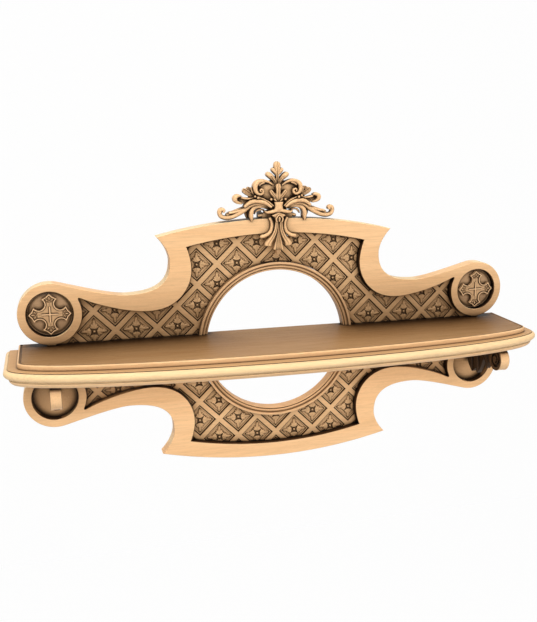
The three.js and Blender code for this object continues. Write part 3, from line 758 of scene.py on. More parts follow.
        # Painted shade on the flanks and behind the rear depth, painted shadow on walls that face the middle,
        # painted light on upward walls that look away from it.
        flank = tree.above(tree.math("ABSOLUTE", facing["X"], 0), self.sideways)
        behind = (-self.rear_depth - self.rear_blend, -self.rear_depth + self.rear_blend)
        rear = tree.above(spot["Y"], behind)
        inward = tree.math("MULTIPLY", tree.below(away, self.inward), tree.above(away, self.far_inward))
        outward = tree.math("MULTIPLY", tree.above(away, self.outward), tree.above(facing["Z"], self.upward))
        return self.with_painted_tones(tree, colour, [
            (tree.math("MAXIMUM", flank, rear), self.flank_painted_shade),
            (rear, self.rear_painted_shade),
            (inward, self.inward_painted_shadow),
            (outward, self.outward_painted_light),
        ])

    def material(self) -> Material:
        """Builds the material.

        Returns:
            The material.
        """
        tree = Tree(self.name)
        place = tree.add("TexCoord").outputs["Object"]
        fibres = self.noise(tree, place, self.fibre, Detail=4.0, Roughness=0.6)
        pores = self.noise(tree, place, self.pore, Detail=2.0, Roughness=0.5)
        colour = self.shaded(tree, place, self.bare(tree, place, fibres, pores))
        height = tree.math("ADD", fibres, pores)
        bump = tree.add("Bump", Height=height, Distance=self.pore_depth, Strength=0.35)
        rough = tree.ranged(fibres, 0.3, 0.7, self.roughness - 0.05, self.roughness + 0.08)
        shader = tree.add(
            "BsdfPrincipled", Base_Color=colour, Roughness=rough, Normal=bump.outputs["Normal"],
            Specular_IOR_Level=self.specular,
        )
        return tree.finish(shader)


@dataclass(frozen=True)
class Steel:
    """Zinc plated steel with a faint mottled brightness."""

    name: str
    colour: Colour = (0.62, 0.63, 0.64, 1)
    dull: Colour = (0.42, 0.43, 0.45, 1)

    def material(self) -> Material:
        """Builds the material.

        Returns:
            The material.
        """
        tree = Tree(self.name)
        place = tree.add("TexCoord").outputs["Object"]
        spangle = tree.add("TexVoronoi", Vector=place, Scale=420.0).outputs["Distance"]
        scuffs = tree.add("TexNoise", Vector=place, Scale=900.0, Detail=4.0).outputs["Fac"]
        colour = tree.mixed(tree.ranged(spangle, 0.1, 0.8, 0, 1), self.colour, self.dull)
        bump = tree.add("Bump", Height=scuffs, Distance=0.00003, Strength=0.3)
        shader = tree.add(
            "BsdfPrincipled", Base_Color=colour, Metallic=1.0,
            Roughness=tree.ranged(scuffs, 0.3, 0.7, 0.28, 0.45), Normal=bump.outputs["Normal"],
        )
        return tree.finish(shader)

def built_once(finish: Wood | Steel) -> Material:
    """A field that holds the finish's material, built with the object that it belongs to."""
    return field(default_factory=finish.material)


@dataclass
class Finishes:
    """Every finish on the object, each built once."""

    # Painted shadow on the walls that face the middle and painted light on upward walls that look away from
    # it.
    board: Material = built_once(Wood(
        "board_wood", hollow=0.0085, glaze_and_shade_from=0.55, shade=0.82, inward_painted_shadow=(0.15, 0.12, 0.1, 1),
        outward_painted_light=(1.05, 1.25, 1.38, 1),
    ))
    # A darker copy of the wood: painted shade on the sunk ring.
    ring: Material = built_once(Wood(
        "ring_shaded_wood", pale=(0.80, 0.51, 0.285, 1), warm=(0.74, 0.455, 0.24, 1), hollow=0.0017, shade=0.7,
        glaze_and_shade_from=0.15,
    ))
    # Painted shade on the level top and on the ledges below it, standing for the backboard's shadow.
    shelf: Material = built_once(Wood(
        "shelf_wood", top_painted_shade=(0.46, 0.415, 0.35, 1), ledge_painted_shade=(0.70, 0.66, 0.60, 1), top_height=0.0128,
        hollow=0.003, shade=0.3, shade_reach=0.11, glaze_and_shade_from=0.34, specular=0.06,
    ))
    # A paler copy of the wood with little painted shade: painted light on the base.
    foot: Material = built_once(Wood(
        "shelf_foot_lit_wood", pale=(0.96, 0.65, 0.38, 1), hollow=0.0014, glaze_and_shade_from=0.2, shade=0.15,
    ))
    # A paler, yellower copy of the wood: a painted highlight on the round nose.
    bead: Material = built_once(Wood(
        "bead_highlight_wood", pale=(0.975, 0.70, 0.40, 1), warm=(0.94, 0.645, 0.355, 1), hollow=0.002,
    ))
    # Darker than the frame, partly the panel's own colour and partly painted shade in the sunk panel.
    panel: Material = built_once(Wood(
        "panel_wood", pale=(0.80, 0.52, 0.285, 1), warm=(0.70, 0.44, 0.23, 1), hollow=0.003, shade=0.78,
    ))
    ground: Material = built_once(Wood(
        "ground_wood", pale=(0.60, 0.395, 0.235, 1), warm=(0.53, 0.34, 0.19, 1), hollow=0.0055, shade=0.6,
        shade_reach=0.05,
    ))
    # Painted shade on what lies behind the rear depth.
    relief: Material = built_once(Wood(
        "relief_wood", pale=(0.86, 0.57, 0.33, 1), warm=(0.80, 0.51, 0.28, 1), grain=Grain.UPRIGHT,
        hollow=0.0028, shade=0.45, shade_reach=0.04, rear_painted_shade=(0.78, 0.76, 0.73, 1), rear_depth=0.0168,
        rear_blend=0.0002,
    ))
    carving: Material = built_once(Wood(
        "crest_wood", grain=Grain.UPRIGHT, hollow=0.0071, shade=0.45, shade_reach=0.03, glaze_and_shade_from=0.52,
    ))
    # Painted shadow of the shelf: the flank tone darkens the sides and the rear tone what lies behind the
    # rear depth.
    console: Material = built_once(Wood(
        "console_wood", grain=Grain.FORWARD, hollow=0.0065, shade=0.8, shade_reach=0.055,
        flank_painted_shade=(0.12, 0.10, 0.085, 1), rear_depth=0.077, rear_painted_shade=(0.5, 0.5, 0.5, 1),
    ))
    dowel: Material = built_once(Wood("dowel_wood", pale=(0.80, 0.56, 0.32, 1), grain=Grain.UPRIGHT))
    steel: Material = built_once(Steel("zinc_steel"))


def finished(name: str, bm: Solid, material: Material,
             nodes: Sequence[str], angle: float = 35) -> bpy.types.Object:
    """Turns a mesh in millimetres into a piece of the shelf.

    Args:
        name: The piece's name.
        bm: Its mesh, which is freed.
        material: Its finish.
        nodes: The nodes of the frame that it stands for.
        angle: Edges sharper than this, in degrees, stay sharp.

    Returns:
        The piece.
    """
    bmesh.ops.recalc_face_normals(bm, faces=bm.faces)
    open_edges = sum(not e.is_manifold for e in bm.edges)
    bmesh.ops.transform(bm, matrix=Matrix.Scale(MM, 4), verts=bm.verts)
    triangles = sum(len(f.verts) - 2 for f in bm.faces)
    obj = placed(bm, name)
    obj.data.shade_smooth()
    obj.data.set_sharp_from_angle(angle=math.radians(angle))
    obj.data.materials.append(material)
    weighted = obj.modifiers.new("even_shading", "WEIGHTED_NORMAL")
    weighted.keep_sharp = True
    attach(obj, BODY)
    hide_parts(*nodes)
    LOG.info("%s: %d triangles, %d open edges", name, triangles, open_edges)
    return obj


@dataclass
class Backboard:
    """Outlines that the frame boards, the panels and the crest share."""

    shelf_top: float = 14
    shelf_bottom: float = -12
    thick: float = 18
    arch_tip: Vector = field(default_factory=lambda: flat(160.8, 147.5))
    arch_tip_pull: float = 14
    arch_tip_angle: float = 0.775
    crown: float = 167
    waist: Vector = field(default_factory=lambda: flat(144.3, 115))
    waist_pull_up: float = 10
    waist_pull_down: float = 25
    hollow: Vector = field(default_factory=lambda: flat(201.8, 74.7))
    hollow_pull_in: float = 43.8
    hollow_pull_out: float = 20
    roundel: Vector = field(default_factory=lambda: flat(296.6, 55))
    roundel_r: float = 39.7
    tangent_angle: float = 1.82
    roundel_pull: float = 22
    recess_r: float = 29
    recess_depth: float = 10
    foot_half: float = 6
    rebate_width: float = 6
    rebate_depth: float = 7
    crown_rail: float = 20
    corner_rail: Vector = field(default_factory=lambda: flat(38.8, 14.5))
    waist_rail: Vector = field(default_factory=lambda: flat(28.3, 11))
    hollow_rail: Vector = field(default_factory=lambda: flat(29.3, 23.2))
    corner_pull: Vector = field(default_factory=lambda: flat(3.5, 9))
    window_waist_pull: float = 24
    window_hollow_pull_in: float = 38.5
    window_hollow_pull_out: float = 25.5
    window_tip_pull: Vector = field(default_factory=lambda: flat(22, 11))
    tip_clear: float = 3.5
    tip_angle: float = 2.707
    tip_point_angle: float = 2.595
    tip_end_angle: float = 2.745

    def foot(self, side: Side) -> float:
        """Height of the board's foot above or below the origin, as a positive number."""
        return self.shelf_top + GAP if side is Side.UPPER else GAP - self.shelf_bottom

    def on_roundel(self, angle: float, out: float = 0) -> Vector:
        """A point on the round end's circle, or outside it by out."""
        reach = self.roundel_r + out
        return self.roundel + flat(math.cos(angle), math.sin(angle)) * reach

    def outer_line(self, foot: float) -> Line:
        """Outer edge of the frame from the crown to the foot under the round end.

        Args:
            foot: Height of the foot.

        Returns:
            The right-hand half of the edge.
        """
        tangent = self.on_roundel(self.tangent_angle)
        along = flat(math.sin(self.tangent_angle), -math.cos(self.tangent_angle))
        tip_pull = flat(math.cos(self.arch_tip_angle), math.sin(self.arch_tip_angle)) * self.arch_tip_pull
        foot_angle = -math.acos(self.foot_half / self.roundel_r)
        x, z = self.roundel
        return without_repeats([
            *arch_over(self.crown, *self.arch_tip, 40),
            *bezier(self.arch_tip, self.arch_tip - tip_pull, self.waist + flat(0, self.waist_pull_up),
                    self.waist),
            *bezier(self.waist, self.waist - flat(0, self.waist_pull_down),
                    self.hollow - flat(self.hollow_pull_in, 0), self.hollow),
            *bezier(self.hollow, self.hollow + flat(self.hollow_pull_out, 0),
                    tangent - along * self.roundel_pull, tangent),
            *arc(x, z, self.roundel_r, self.tangent_angle, foot_angle, 60),
            flat(x + self.foot_half, foot),
        ])

    def window_line(self, foot: float) -> Line:
        """Edge of the window from the crown down to the foot of the round end.

        Args:
            foot: Height of the foot.

        Returns:
            The right-hand half of the edge.
        """
        corner = self.arch_tip - self.corner_rail
        waist = self.waist - self.waist_rail
        hollow = self.hollow - self.hollow_rail
        tip = self.on_roundel(self.tip_angle, self.tip_clear)
        point = self.on_roundel(self.tip_point_angle)
        end = self.on_roundel(self.tip_end_angle)
        foot_angle = math.pi + math.acos(self.foot_half / self.roundel_r)
        x, z = self.roundel
        return without_repeats([
            *arch_over(self.crown - self.crown_rail, *corner, 32),
            *bezier(corner, corner - self.corner_pull, waist + flat(0, self.corner_pull.y), waist, 16),
            *bezier(waist, waist - flat(0, self.window_waist_pull),
                    hollow - flat(self.window_hollow_pull_in, 0), hollow),
            *bezier(hollow, hollow + flat(self.window_hollow_pull_out, 0), tip - self.window_tip_pull, tip),
            *bezier(tip, tip.lerp(point, 2 / 3), end.lerp(point, 2 / 3), end, 8),
            *arc(x, z, self.roundel_r, self.tip_end_angle, foot_angle, 32),
            flat(x - self.foot_half, foot),
        ])

    def window(self, side: Side, grow: float) -> Line:
        """Outline of everything inside the window, moved out by grow.

        Args:
            side: The half of the backboard.
            grow: How far it moves out.

        Returns:
            The closed outline.
        """
        foot = self.foot(side)
        line = shifted(self.window_line(foot), grow)
        line[0].x = 0
        line[-1].y = foot
        return flipped(mirrored_outline(line), side)


@dataclass
class Hardware:
    """Dowels, screws and hanger plates, and the holes that take them."""

    board: Backboard
    dowel_r: float = 3
    dowel_length: float = 22
    dowel_into_shelf: float = 11
    foot_dowel_depth: float = 12.5
    ring_dowel_x: float = 100.3
    ring_dowel_depth: float = 8
    crest_dowel_x: float = 14
    crest_dowel_length: float = 18
    crest_dowel_depth: float = 11
    hanger_x: float = 15
    hanger_half: float = 10
    hanger_thick: float = 2.5
    hanger_below: float = 31
    hanger_above: float = 19
    hanger_corner: float = 4
    hole_r: float = 4.5
    hole_drop: float = 9
    console_x: float = 295.4
    back_screw_z: float = -36
    back_screw_hole: float = 36
    shelf_screw_depth: float = 58
    shelf_screw_hole: float = 26.5
    screw_r: float = 2
    mouth_r: float = 4.3
    mouth_depth: float = 5

    def dowel_hole(self, x: float, depth: float, side: Side) -> Solid:
        """The hole for a dowel between the shelf and a board.

        Args:
            x: Distance to the right of the middle.
            depth: Distance in front of the wall.
            side: The side of the shelf.

        Returns:
            The hole as a bar.
        """
        face = self.board.shelf_top if side is Side.UPPER else self.board.shelf_bottom
        middle = face + side.value * (self.dowel_length / 2 - self.dowel_into_shelf)
        return bar(Vector((x, -depth, middle)), self.dowel_r + GAP, self.dowel_length + 2 * GAP, "z", 16)

    def crest_dowel_hole(self, hand: Hand) -> Solid:
        """The hole for a dowel between the upper frame and the crest."""
        centre = Vector((hand.value * self.crest_dowel_x, -self.crest_dowel_depth, self.board.crown))
        return bar(centre, self.dowel_r + GAP, self.crest_dowel_length + 2 * GAP, "z", 16)

    def hanger_pocket(self, hand: Hand) -> Solid:
        """The shallow housing behind a hanger plate."""
        return plate(self.hanger_outline(hand, GAP), -1, self.hanger_thick + GAP)

    def hanger_outline(self, hand: Hand, grow: float) -> Line:
        """Outline of a hanger plate, moved out by grow.

        Args:
            hand: The end of the shelf.
            grow: How far it moves out.

        Returns:
            The closed outline.
        """
        x = hand.value * self.hanger_x
        half = self.hanger_half + grow
        low = self.board.crown - self.hanger_below - grow
        high = self.board.crown + self.hanger_above + grow
        corner = self.hanger_corner
        return [
            flat(x - half, low), flat(x + half, low), flat(x + half, high - corner),
            flat(x + half - corner, high), flat(x - half + corner, high), flat(x - half, high - corner),
        ]

    def console_holes(self, hand: Hand) -> list[Solid]:
        """The holes of a console's two screws.

        Args:
            hand: The end of the shelf.

        Returns:
            The holes as bars.
        """
        x = hand.value * self.console_x
        radius = self.screw_r + GAP
        return [
            bar(Vector((x, -self.back_screw_hole / 2, self.back_screw_z)), radius,
                self.back_screw_hole, "y", 16),
            bar(Vector((x, -self.shelf_screw_depth, self.board.shelf_bottom)), radius,
                self.shelf_screw_hole, "z", 16),
        ]

    def back_screw_mouth(self, hand: Hand) -> Solid:
        """The countersink of the screw that holds a console from behind.

        Args:
            hand: The end of the shelf.

        Returns:
            The countersink as a bar.
        """
        past = 1
        centre = Vector((hand.value * self.console_x, (past - self.mouth_depth) / 2, self.back_screw_z))
        return bar(centre, self.mouth_r, self.mouth_depth + past, "y", 24)


@dataclass
class FrameBoards:
    """The two smooth boards that border the carved panels."""

    board: Backboard
    hardware: Hardware
    edge: float = 0.9

    def build(self, side: Side, material: Material) -> bpy.types.Object:
        """Builds the board above or below the shelf.

        Args:
            side: The half of the backboard.
            material: Its finish.

        Returns:
            The finished board.
        """
        board = self.board
        foot = board.foot(side)
        outer = mirrored_outline(board.outer_line(foot))
        inner = mirrored_outline(board.window_line(foot))
        body = plate(flipped(outer + inner[::-1], side), 0, board.thick)
        tools = [plate(board.window(side, board.rebate_width), -1, board.rebate_depth)]
        x, z = board.roundel
        middle = board.thick - board.recess_depth / 2
        for hand in Hand:
            centre = Vector((hand.value * x, -middle - 1, side.value * z))
            tools.append(bar(centre, board.recess_r, board.recess_depth + 2, "y", 96))
            tools.append(self.hardware.dowel_hole(hand.value * x, self.hardware.foot_dowel_depth, side))
            if side is Side.UPPER:
                tools.append(self.hardware.hanger_pocket(hand))
                tools.append(self.hardware.crest_dowel_hole(hand))
            else:
                tools.append(self.hardware.back_screw_mouth(hand))
        body = combined(body, tools, Cut.REMOVE)
        front = -board.thick + 0.01
        soften(body, self.edge, lambda e: all(v.co.y < front for v in e.verts))
        name = f"{side.name.lower()}_frame"
        return finished(f"{name}_board", body, material, [name])


@dataclass
class LatticePanels:
    """Sunk panels of crossing strips with a rosette in every diamond."""

    board: Backboard
    hardware: Hardware
    step: float = 27
    strip_half: float = 3.5
    strip_front: float = 10
    ground: float = 7.5
    groove_floor: float = 6.95
    groove: float = 1.1
    fillet: float = 1.3
    petal_rise: float = 2.3
    star_half: float = 3.7
    teeth: int = 5
    tooth: float = 0.3
    vein: float = 0.6
    vein_half: float = 0.45
    bead_r: float = 1.95
    leaflets: Sequence[tuple[float, float, float, float, float]] = (
        (0, 3.2, 0, 17.6, 3.0),
        (1.0, 5.5, 4.6, 10.6, 1.75),
        (1.5, 4.4, 6.2, 7.6, 1.9),
        (0, 4.4, 3.6, 4.9, 1.1),
    )
    ring_outer: float = 108
    inner_cells: int = 46
    columns: int = 11
    arch_columns: int = 6
    rows: int = 6
    wing_rows: int = 3
    open_tiles: int = 2

    @property
    def half_tile(self) -> float:
        """Distance from a rosette to the middle of the strips round it."""
        return self.step / math.sqrt(2)

    def petal(self, along: float, across: float) -> float:
        """Rise of the leaflets of a petal at a place along and across it, or below zero beside them.

        Args:
            along: Distance from the rosette along the petal's axis.
            across: Distance from that axis.

        Returns:
            The rise.
        """
        best = -1.0
        for c0, r0, c1, r1, width in self.leaflets:
            dc, dr = c1 - c0, r1 - r0
            span = math.hypot(dc, dr)
            t = ((across - c0) * dc + (along - r0) * dr) / span ** 2
            if not 0 < t < 1:
                continue
            away = abs((across - c0) * dr - (along - r0) * dc) / span
            half = width * math.sin(math.pi * min(0.12 + 0.95 * t, 1) ** 0.9) ** 0.6
            half *= 1 - self.tooth * (self.teeth * t % 1) * min(3 * t, 1)
            if away < half:
                vein = self.vein * math.exp(-((away / self.vein_half) ** 2)) * min(4 * (1 - t), 1)
                best = max(best, self.petal_rise * (1 - (away / half) ** 2) ** 0.5 * (1 - 0.25 * t) - vein)
        return best

    def surface(self, u: float, v: float) -> float:
        """Depth of the carving at a place of a tile, measured along its two strips.

        Args:
            u: Place along the strips that run up to the right.
            v: Place along the strips that run up to the left.

        Returns:
            The depth.
        """
        x = (u - v) / math.sqrt(2)
        z = (u + v) / math.sqrt(2)
        inside = self.half_tile - max(abs(u), abs(v))
        if inside < self.strip_half:
            return self.strip_front - 0.5 * smoothstep(self.strip_half - 0.5, self.strip_half, inside)
        if inside < self.strip_half + self.groove:
            return self.groove_floor
        ax, az = abs(x), abs(z)
        reach = math.hypot(x, z)
        star = self.star_half * (1 - 0.12 * math.cos(4 * math.atan2(z, x)))
        if max(ax, az) < star:
            bead = math.sqrt(max(self.bead_r ** 2 - reach ** 2, 0))
            return self.groove_floor + 0.1 + (0.6 + bead if bead > 0 else 0)
        fillet = inside < self.strip_half + self.groove + self.fillet
        low = self.ground + (0.55 if fillet else -0.2)
        return low + max(self.petal(az, ax), self.petal(ax, az), 0.0) * (0.4 if fillet else 1)

    def lines(self) -> list[float]:
        """Places of the grid lines across a tile, close together at the strips' edges.

        Returns:
            The places in order, from the rosette's left to its right.
        """
        edge = self.half_tile - self.strip_half
        groove = edge - self.groove
        inner = groove - self.fillet - 0.07
        near = [inner, inner + 0.14, groove - 0.07, groove + 0.07, edge - 0.12, edge, edge + 0.25, edge + 0.5,
                self.half_tile]
        cells = self.inner_cells
        middle = [-inner + 2 * inner * i / cells for i in range(1, cells)]
        return sorted([-p for p in near] + middle + near)

    def tile(self) -> bpy.types.Mesh:
        """One carved diamond with half a strip along each side.

        Returns:
            The tile's mesh.
        """
        lines = self.lines()
        count = len(lines) - 1
        bm = bmesh.new()
        bmesh.ops.create_grid(bm, x_segments=count, y_segments=count, size=0.5)
        turn = math.sqrt(2)
        for vert in bm.verts:
            u = lines[round((vert.co.x + 0.5) * count)]
            v = lines[round((vert.co.y + 0.5) * count)]
            vert.co = ((u - v) / turn, -self.surface(u, v), (u + v) / turn)
        mesh = bpy.data.meshes.new("tile")
        bm.to_mesh(mesh)
        bm.free()
        return mesh

    def wanted(self, column: int, row: int) -> bool:
        """True for a diamond that the window may show.

        Args:
            column: Its place to the right of the middle.
            row: Its place from the shelf.

        Returns:
            Whether it is built.
        """
        if (column + row) % 2:
            return False
        under_ring = max(abs(column), row) <= self.open_tiles
        return not under_ring and (abs(column) <= self.arch_columns or row <= self.wing_rows)

    def relief(self, side: Side) -> Solid:
        """A thick slab with the carving of every diamond on its front.

        Args:
            side: The half of the backboard.

        Returns:
            The closed slab.
        """
        tile = self.tile()
        bm = bmesh.new()
        for row in range(self.rows + 1):
            for column in range(-self.columns, self.columns + 1):
                if self.wanted(column, row):
                    shift = Matrix.Translation((column * self.step, 0, side.value * row * self.step))
                    tile.transform(shift)
                    bm.from_mesh(tile)
                    tile.transform(shift.inverted())
        bpy.data.meshes.remove(tile)
        bmesh.ops.remove_doubles(bm, verts=bm.verts, dist=0.01)
        rim = [e for e in bm.edges if e.is_boundary]
        wall = bmesh.ops.extrude_edge_only(bm, edges=rim)["geom"]
        for vert in wall:
            if isinstance(vert, bmesh.types.BMVert):
                vert.co.y = 1
        bmesh.ops.edgeloop_fill(bm, edges=[e for e in bm.edges if e.is_boundary])
        bmesh.ops.recalc_face_normals(bm, faces=bm.faces)
        return bm

    def build(self, side: Side, material: Material) -> bpy.types.Object:
        """Builds the panel above or below the shelf.

        Args:
            side: The half of the backboard.
            material: Its finish.

        Returns:
            The finished panel.
        """
        board = self.board
        blank = combined(
            plate(board.window(side, -GAP), 0.5, board.thick),
            [plate(board.window(side, board.rebate_width - GAP), 0, board.rebate_depth - GAP)],
            Cut.JOIN,
        )
        tools = [bar(Vector((0, -9, 0)), self.ring_outer + GAP, 30, "y", 192)]
        if side is Side.UPPER:
            tools += [self.hardware.hanger_pocket(hand) for hand in Hand]
        blank = combined(blank, tools, Cut.REMOVE)
        body = combined(self.relief(side), [blank], Cut.KEEP)
        name = f"{side.name.lower()}_lattice_panel"
        return finished(f"{name}_carved", body, material, [name], 50)


@dataclass
class WindowRings:
    """The half rings that line the open window."""

    board: Backboard
    hardware: Hardware
    inner: float = 97
    outer: float = 108
    front: float = 15.7

    def profile(self) -> list[tuple[float, float]]:
        """Section of the ring as (radius, depth), closed on itself.

        Returns:
            The points, from the rear round the front and back to the first one.
        """
        i, o, f = self.inner, self.outer, self.front
        return [
            (i, 0), (i, f - 2.8), (i + 0.3, f - 2.4), (i + 1.6, f - 2.3), (i + 2.0, f - 2.6),
            (i + 2.15, f - 3.2), (i + 2.7, f - 3.2), (i + 2.8, f - 2.8), (i + 3.0, f - 1.9),
            (i + 3.6, f - 1.35), (i + 4.4, f - 1.1), (i + 5.2, f - 1.35), (i + 5.8, f - 1.9),
            (i + 6.05, f - 2.8), (i + 6.3, f - 3.0), (i + 7.2, f - 2.9), (i + 7.5, f - 2.3),
            (i + 7.7, f - 0.5), (i + 8.1, f), (o - 0.7, f), (o - 0.2, f - 0.2), (o, f - 0.7), (o, 0), (i, 0),
        ]

    def build(self, side: Side, material: Material) -> bpy.types.Object:
        """Builds the half ring above or below the shelf.

        Args:
            side: The half of the backboard.
            material: Its finish.

        Returns:
            The finished half ring.
        """
        whole = turned(self.profile(), 180)
        foot = side.value * self.board.foot(side)
        reach = self.outer + 10
        low, high = sorted((foot, side.value * reach))
        half = combined(whole, [block((-reach, -30, low), (reach, 1, high))], Cut.KEEP)
        holes = [
            self.hardware.dowel_hole(hand.value * self.hardware.ring_dowel_x,
                                     self.hardware.ring_dowel_depth, side)
            for hand in Hand
        ]
        half = combined(half, holes, Cut.REMOVE)
        name = f"{side.name.lower()}_window_ring"
        return finished(f"{name}_turned", half, material, [name], 28)


@dataclass
class ShelfBoards:
    """Three bowed boards, one on the other, with a moulded edge."""

    board: Backboard
    hardware: Hardware
    half_length: float = 337.2
    end_depth: float = 80
    bow: float = 49
    bow_power: float = 0.9
    top_edge: float = 6.2
    cove_out: float = 12
    bead_out: float = 16.7
    bead_neck: float = 11.5
    neck_height: float = 2.1
    base_out: float = 10.8
    base_foot: float = 5
    bead_top: float = 6.4
    base_top: float = -6
    steps: int = 110

    def plan(self, out: float, height: float) -> list[Vector]:
        """The bowed plan moved out, at a height.

        Args:
            out: How far it is moved out.
            height: Its height.

        Returns:
            The points from the left rear corner round the front to the right one.
        """
        half = self.half_length + out
        points = [Vector((-half, 0, height))]
        for i in range(self.steps + 1):
            angle = math.pi * i / self.steps
            depth = self.end_depth + (self.bow + out) * math.sin(angle) ** self.bow_power
            points.append(Vector((-half * math.cos(angle), -depth if 0 < i < self.steps else -self.end_depth,
                                  height)))
        points.append(Vector((half, 0, height)))
        return points

    def moulded(self, profile: Sequence[tuple[float, float]]) -> Solid:
        """A board whose edge follows (out, height) points from its lower face up."""
        return swept([self.plan(out, height) for out, height in profile])

    def top_profile(self) -> list[tuple[float, float]]:
        """Fillet and cove, then an overhanging edge with a round arris and a quirk behind it.

        Returns:
            The (out, height) points from the lower face up.
        """
        low = self.bead_top + GAP / 2
        step = self.board.shelf_top - self.top_edge
        top = self.board.shelf_top
        start, reach, rise = self.cove_out - 2.4, self.cove_out - 2.0, step - low - 1.3
        cove = [
            (start - reach * math.sin(a) ** 1.1, low + 1.0 + rise * (1 - math.cos(a)))
            for a in [math.pi / 2 * i / 9 for i in range(10)]
        ]
        return [
            (self.cove_out - 0.6, low), (self.cove_out - 0.4, low + 0.25), (self.cove_out - 0.4, low + 0.6),
            (self.cove_out - 0.8, low + 0.85), *cove, (-0.4, step - 0.2), (0.2, step - 0.1),
            (0.3, step + 0.2), (0.3, top - 1.8), (0.1, top - 1.1), (-0.5, top - 0.5), (-1.3, top - 0.15),
            (-1.9, top - 0.05), (-2.2, top - 0.9), (-4.0, top - 1.0), (-4.6, top - 0.9), (-4.9, top),
        ]

    def bead_profile(self) -> list[tuple[float, float]]:
        """A full round nose over a short neck.

        Returns:
            The (out, height) points from the lower face up.
        """
        foot = self.base_top + GAP / 2
        low = foot + self.neck_height
        high = self.bead_top - GAP / 2
        middle = (low + high) / 2
        angles = [math.radians(-90 + 180 * i / 16) for i in range(17)]
        nose = [
            (self.bead_neck + (self.bead_out - self.bead_neck) * math.cos(a),
             middle + (high - middle) * math.sin(a))
            for a in angles
        ]
        return [(self.bead_neck - 1.2, foot), (self.bead_neck - 1.2, low - 0.2), *nose]

    def base_profile(self) -> list[tuple[float, float]]:
        """A small round moulding under the nose.

        Returns:
            The (out, height) points from the lower face up.
        """
        high = self.base_top - GAP / 2
        low = self.board.shelf_bottom
        return [
            (self.base_foot - 1, low), (self.base_foot, low + 0.1), (self.base_foot + 2.2, low + 0.9),
            (self.base_out - 1.8, low + 2.2), (self.base_out - 0.7, low + 3.6),
            (self.base_out - 0.2, low + 4.8), (self.base_out, high),
        ]

    def dowel_holes(self) -> list[Solid]:
        """The holes of the dowels from both frames and both rings.

        Returns:
            The holes as bars.
        """
        hardware = self.hardware
        places = (
            (self.board.roundel.x, hardware.foot_dowel_depth),
            (hardware.ring_dowel_x, hardware.ring_dowel_depth),
        )
        return [
            hardware.dowel_hole(hand.value * x, depth, side)
            for side in Side
            for hand in Hand
            for x, depth in places
        ]

    def build(self, finishes: Finishes) -> None:
        """Builds the three boards, the top one first.

        Args:
            finishes: Every finish.
        """
        for name, profile, material in (
            ("shelf_top_board", self.top_profile(), finishes.shelf),
            ("shelf_bead_board", self.bead_profile(), finishes.bead),
            ("shelf_base_board", self.base_profile(), finishes.foot),
        ):
            body = combined(self.moulded(profile), self.dowel_holes(), Cut.REMOVE)
            finished(name.replace("board", "moulding"), body, material, [name], 30)


@dataclass
class Blade:
    """One carved leaf, stem or scroll of the crest, on its right half.

    Each point is (distance from the middle, height above the arch's crown, half width, depth of
    the crown of its section).
    """

    points: Sequence[tuple[float, float, float, float]]
    section: Section = Section.ROUND
    back: float = 9
    capped: bool = True
    steps: int = 6
    across: int = 12

    def solid(self, crown: float) -> Solid:
        """The blade as a closed solid, with a round end where it is capped.

        Args:
            crown: Height of the arch's crown.

        Returns:
            The solid.
        """
        path = smooth_path(self.points, self.steps)
        rows = []
        for i, (x, up, half, front) in enumerate(path):
            before = path[max(i - 1, 0)]
            after = path[min(i + 1, len(path) - 1)]
            along = flat(after[0] - before[0], after[1] - before[1]).normalized()
            rows.append((flat(x, up + crown), along, max(half, 0.12), front))
        if self.capped:
            place, along, half, front = rows[-1]
            for angle in (0.4, 0.75, 1.05, 1.3, 1.45):
                rows.append((place + along * half * math.sin(angle), along, half * math.cos(angle),
                             front - 0.55 * half * (1 - math.cos(angle))))
        return swept([self.outline(*row) for row in rows])

    def outline(self, place: Vector, along: Vector, half: float, front: float) -> list[Vector]:
        """The closed section at one place of the blade.

        Args:
            place: The middle of the section.
            along: The way that the blade runs there.
            half: Half the width.
            front: Depth of the front.

        Returns:
            The section's points.
        """
        normal = flat(-along.y, along.x)
        points = []
        for i in range(self.across + 1):
            share = -math.cos(math.pi * i / self.across)
            spot = place + normal * (half * share)
            points.append(Vector((spot.x, -front + self.section.drop(share, half), spot.y)))
        first = place - normal * half
        last = place + normal * half
        return [Vector((first.x, -self.back, first.y)), *points, Vector((last.x, -self.back, last.y))]


